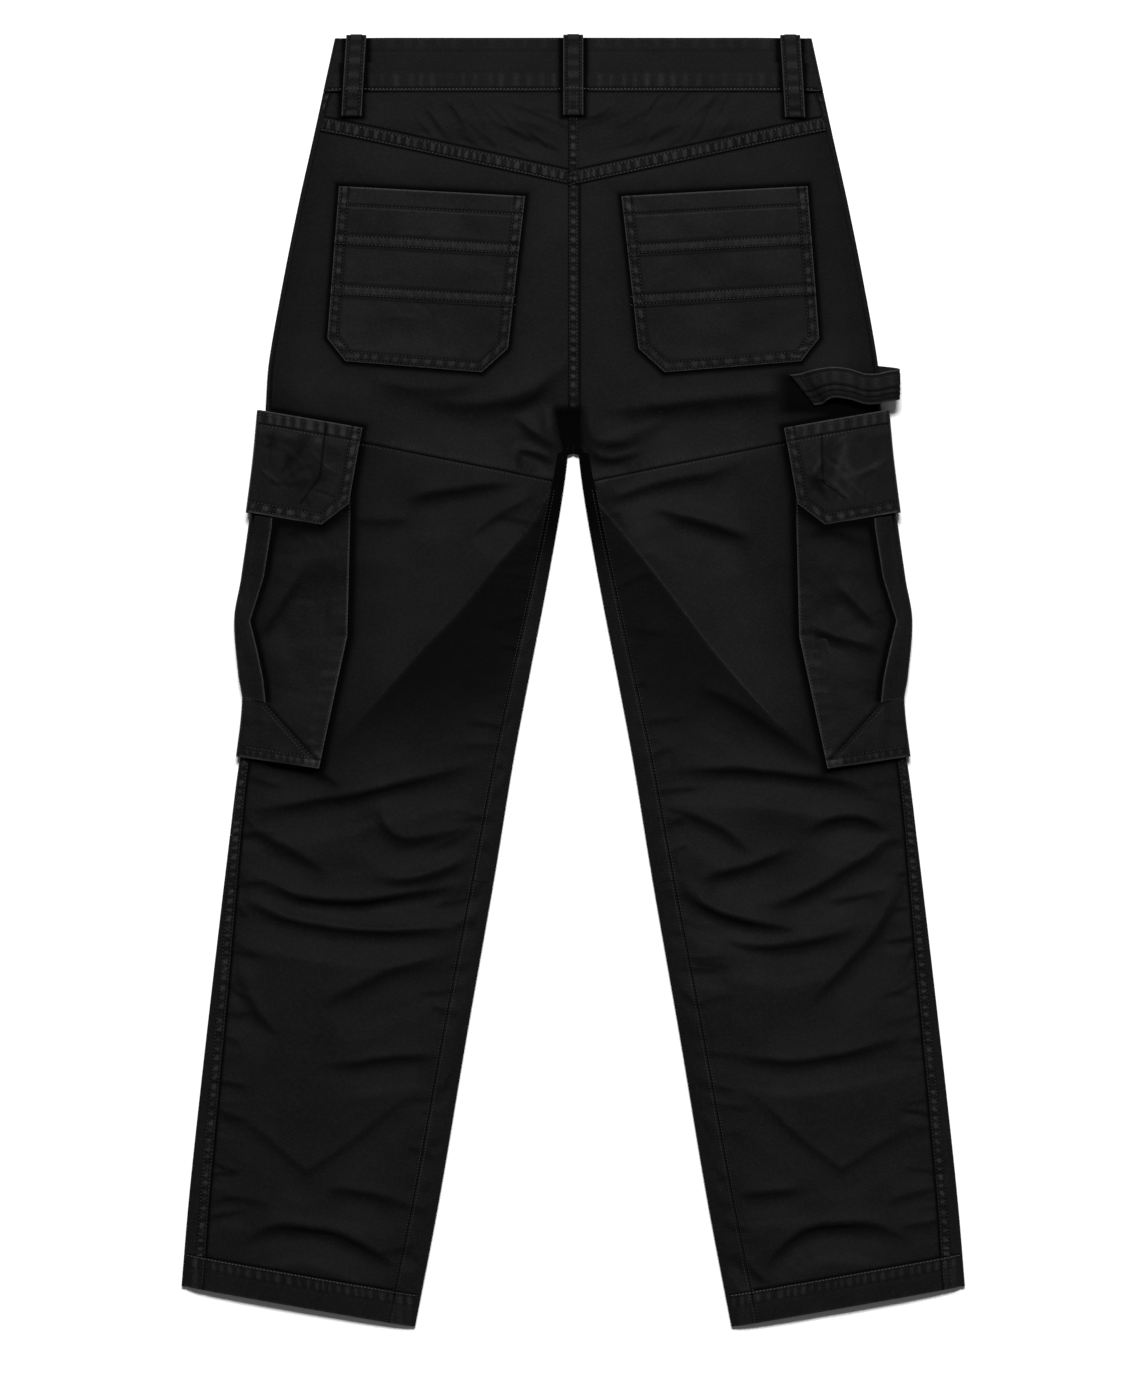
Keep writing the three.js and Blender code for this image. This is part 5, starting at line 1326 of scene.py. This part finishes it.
def sewSide(side):
    name = sided("sewing", side)
    for above in (1.1, 8.8):
        sew(name, yokeRow(side, above), pale=0.7)
    sew(name, crossRow(side, "thighSeam", 1.8, 6, 10, 60))
    y = np.linspace(-66, -496, 260)
    for inboard in (1.1, 7):  # the side seam below the cargo pocket, on the front's strip
        sew(name, np.stack([side * (outerEdge(y) - sideSeamIn(y) + inboard), y], axis=1))
    y = np.linspace(160, -528, 300)
    for inboard in (-1.6, 1.7):  # the inner leg seam
        sew(name, np.stack([side * (innerEdge(y) + innerSeamIn(y) + inboard), y - 2], axis=1), pitch=2.6)
    sew(name, crossRow(side, "hemSeam", 1.4, 2, 2, 90), pitch=2.9, pale=1)


def inward(corners, inset):  # an outline moved inwards, for sewn rows that follow its edge
    corners = [np.array(corner, float) for corner in corners]
    middle, moved = np.mean(corners, axis=0), []
    for before, corner, after in zip(corners[-1:] + corners[:-1], corners, corners[1:] + corners[:1]):
        lines = []
        for a, b in ((before, corner), (corner, after)):
            along = (b - a) / np.linalg.norm(b - a)
            square = np.array([-along[1], along[0]])
            lines.append((a + square * inset * (1 if square @ (middle - a) > 0 else -1), along))
        (a, alongA), (b, alongB) = lines
        moved.append(a + alongA * np.linalg.solve(np.stack([alongA, -alongB], axis=1), b - a)[0])
    return moved


def densely(spots, step=1.0):
    line = []
    for a, b in zip(spots, spots[1:]):
        a, b = np.array(a, float), np.array(b, float)
        count = max(2, int(np.linalg.norm(b - a) / step))
        line.extend(a + (b - a) * t for t in np.linspace(0, 1, count, endpoint=False))
    line.append(np.array(spots[-1], float))
    return np.array(line)


def sewPockets(side):
    mirror = np.array([side, 1])
    row = lambda spots, **look: sew(sided("sewing_pockets", side), densely(spots) * mirror, **look)
    for inset in (1.9, 8):
        ring = inward(outlines["backPocket"], inset)
        row(ring[1:] + ring[:1])
    row([(192, 391.4), (41.5, 383)])
    for atOuter, atInner in ((366.2, 357.5), (359.6, 350.9), (324.7, 315.6), (318.1, 309)):
        row([(196, atOuter + 0.05), (46, atInner)], pale=0.5)
    for inset in (1.9, 8):
        ring = inward(outlines["flap"], inset)
        share = (float(flapEdge(135)) - 3 - ring[2][0]) / (ring[3][0] - ring[2][0])
        row([ring[0], ring[1], ring[2], ring[2] + (ring[3] - ring[2]) * share])
    for below in (1.8, 11):
        row([(175 + below * 0.17, 207 - below), (258, 221.8 - below)])
    row(list(zip(*flapRow[side])), pale=0)
    for spots in ([(183, 150), (186.8, 37), (209, -66)], [(212, -62.4), (271, -53)], [(252, -19), (213, -62)],
                  [(255, -20), (216, -63)], [(254.5, -15), (270, -13)]):  # on the bag
        row(spots)


for side in words:
    sewSide(side)
    sewPockets(side)
sew("sewing_waist", densely([(-199, 486.7), (199, 486.7)]), pale=1)
for x in (-4.2 + 1.4, 4.2 - 1.4):
    sew("sewing_waist", densely([(x, 484), (x, 232)]))
for x, lean in ((-178, -4), (0, 0), (178, 4)):
    for off in (-5.8, 5.8):
        sew("sewing_waist", densely([(x + off, 526), (x + off + lean, 468)]))
sewAll()
print("sewing made")


# Waist button on the front, under the lap

def makeButton():
    button = {"x": 4, "y": 507, "holes": 4, "hole": 0.88, "holeOut": 2.3, "holeDeep": 1.0, "turns": 64,
              "rings": [(1.2, 0.55), (2.3, 0.55), (3.4, 0.55), (5.6, 0.5), (6.4, 0.35), (6.9, 0.05), (7.7, 0.0),
                        (8.2, 0.15), (8.5, 0.7), (8.4, 1.4), (8.1, 1.9), (6, 2), (3, 2)]}  # radius and height
    count, rings = button["turns"], button["rings"]
    turns = np.linspace(0, math.tau, count, endpoint=False)
    points = np.array([[(r * math.cos(t), r * math.sin(t), z) for t in turns] for r, z in rings])
    for hole in range(button["holes"]):
        turn = math.tau * (hole + 0.5) / button["holes"]
        off = points[:4, :, :2] - button["holeOut"] * np.array([math.cos(turn), math.sin(turn)])
        points[:4, :, 2] += button["holeDeep"] * hump(np.linalg.norm(off, axis=2), button["hole"])
    number = np.arange(len(rings) * count).reshape(len(rings), count)
    wide = np.concatenate([number, number[:, :1]], axis=1)
    quads = np.stack([wide[:-1, :-1], wide[:-1, 1:], wide[1:, 1:], wide[1:, :-1]], axis=-1).reshape(-1, 4)
    points = np.concatenate([points.reshape(-1, 3), [[0, 0, rings[0][1]], [0, 0, rings[-1][1]]]])
    low, high = len(points) - 2, len(points) - 1
    tris = [(low, wide[0, k + 1], wide[0, k]) for k in range(count)]
    tris += [(high, wide[-1, k], wide[-1, k + 1]) for k in range(count)]
    points += np.array([button["x"], button["y"], 0])
    made = makeObject("waist_button", points, [quads, np.array(tris)], np.zeros(len(points)), buttonResin)
    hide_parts("waist_button")


makeButton()


# Floor and light

def makeStage():
    board = {"pale": "#f6f6f6", "half": 4.0, "drop": 0.4}
    material, tree = newMaterial("paintedBoard")
    shader = addNode(tree, "ShaderNodeBsdfPrincipled", {"Base Color": linear(board["pale"]), "Roughness": 0.9,
                                                        "Specular IOR Level": 0.1})
    addNode(tree, "ShaderNodeOutputMaterial", {"Surface": shader.outputs[0]})
    half, low = board["half"], -board["drop"] * mm
    mesh = bpy.data.meshes.new("floor")
    mesh.from_pydata([(-half, -half, low), (half, -half, low), (half, half, low), (-half, half, low)], [],
                     [(0, 1, 2, 3)])
    mesh.materials.append(material)
    floor = bpy.data.objects.new("floor", mesh)
    bpy.context.scene.collection.objects.link(floor)


def makeLight():
    light = {"at": (0, 5, 8.2), "size": (3.6, 2), "watts": 1270, "fill": 0.12}
    data = bpy.data.lights.new("key", "AREA")
    data.shape = "RECTANGLE"
    data.size, data.size_y = light["size"]
    data.energy = light["watts"]
    lamp = bpy.data.objects.new("key", data)
    lamp.location = light["at"]
    lamp.rotation_euler = (-Vector(light["at"])).to_track_quat("-Z", "Y").to_euler()
    bpy.context.scene.collection.objects.link(lamp)
    world = bpy.data.worlds.new("studio")
    world.use_nodes = True
    background = world.node_tree.nodes["Background"]
    background.inputs[0].default_value = (1, 1, 1, 1)
    background.inputs[1].default_value = light["fill"]
    bpy.context.scene.world = world
    bpy.context.scene.view_settings.view_transform = "Standard"


makeStage()
makeLight()
print("stage made")
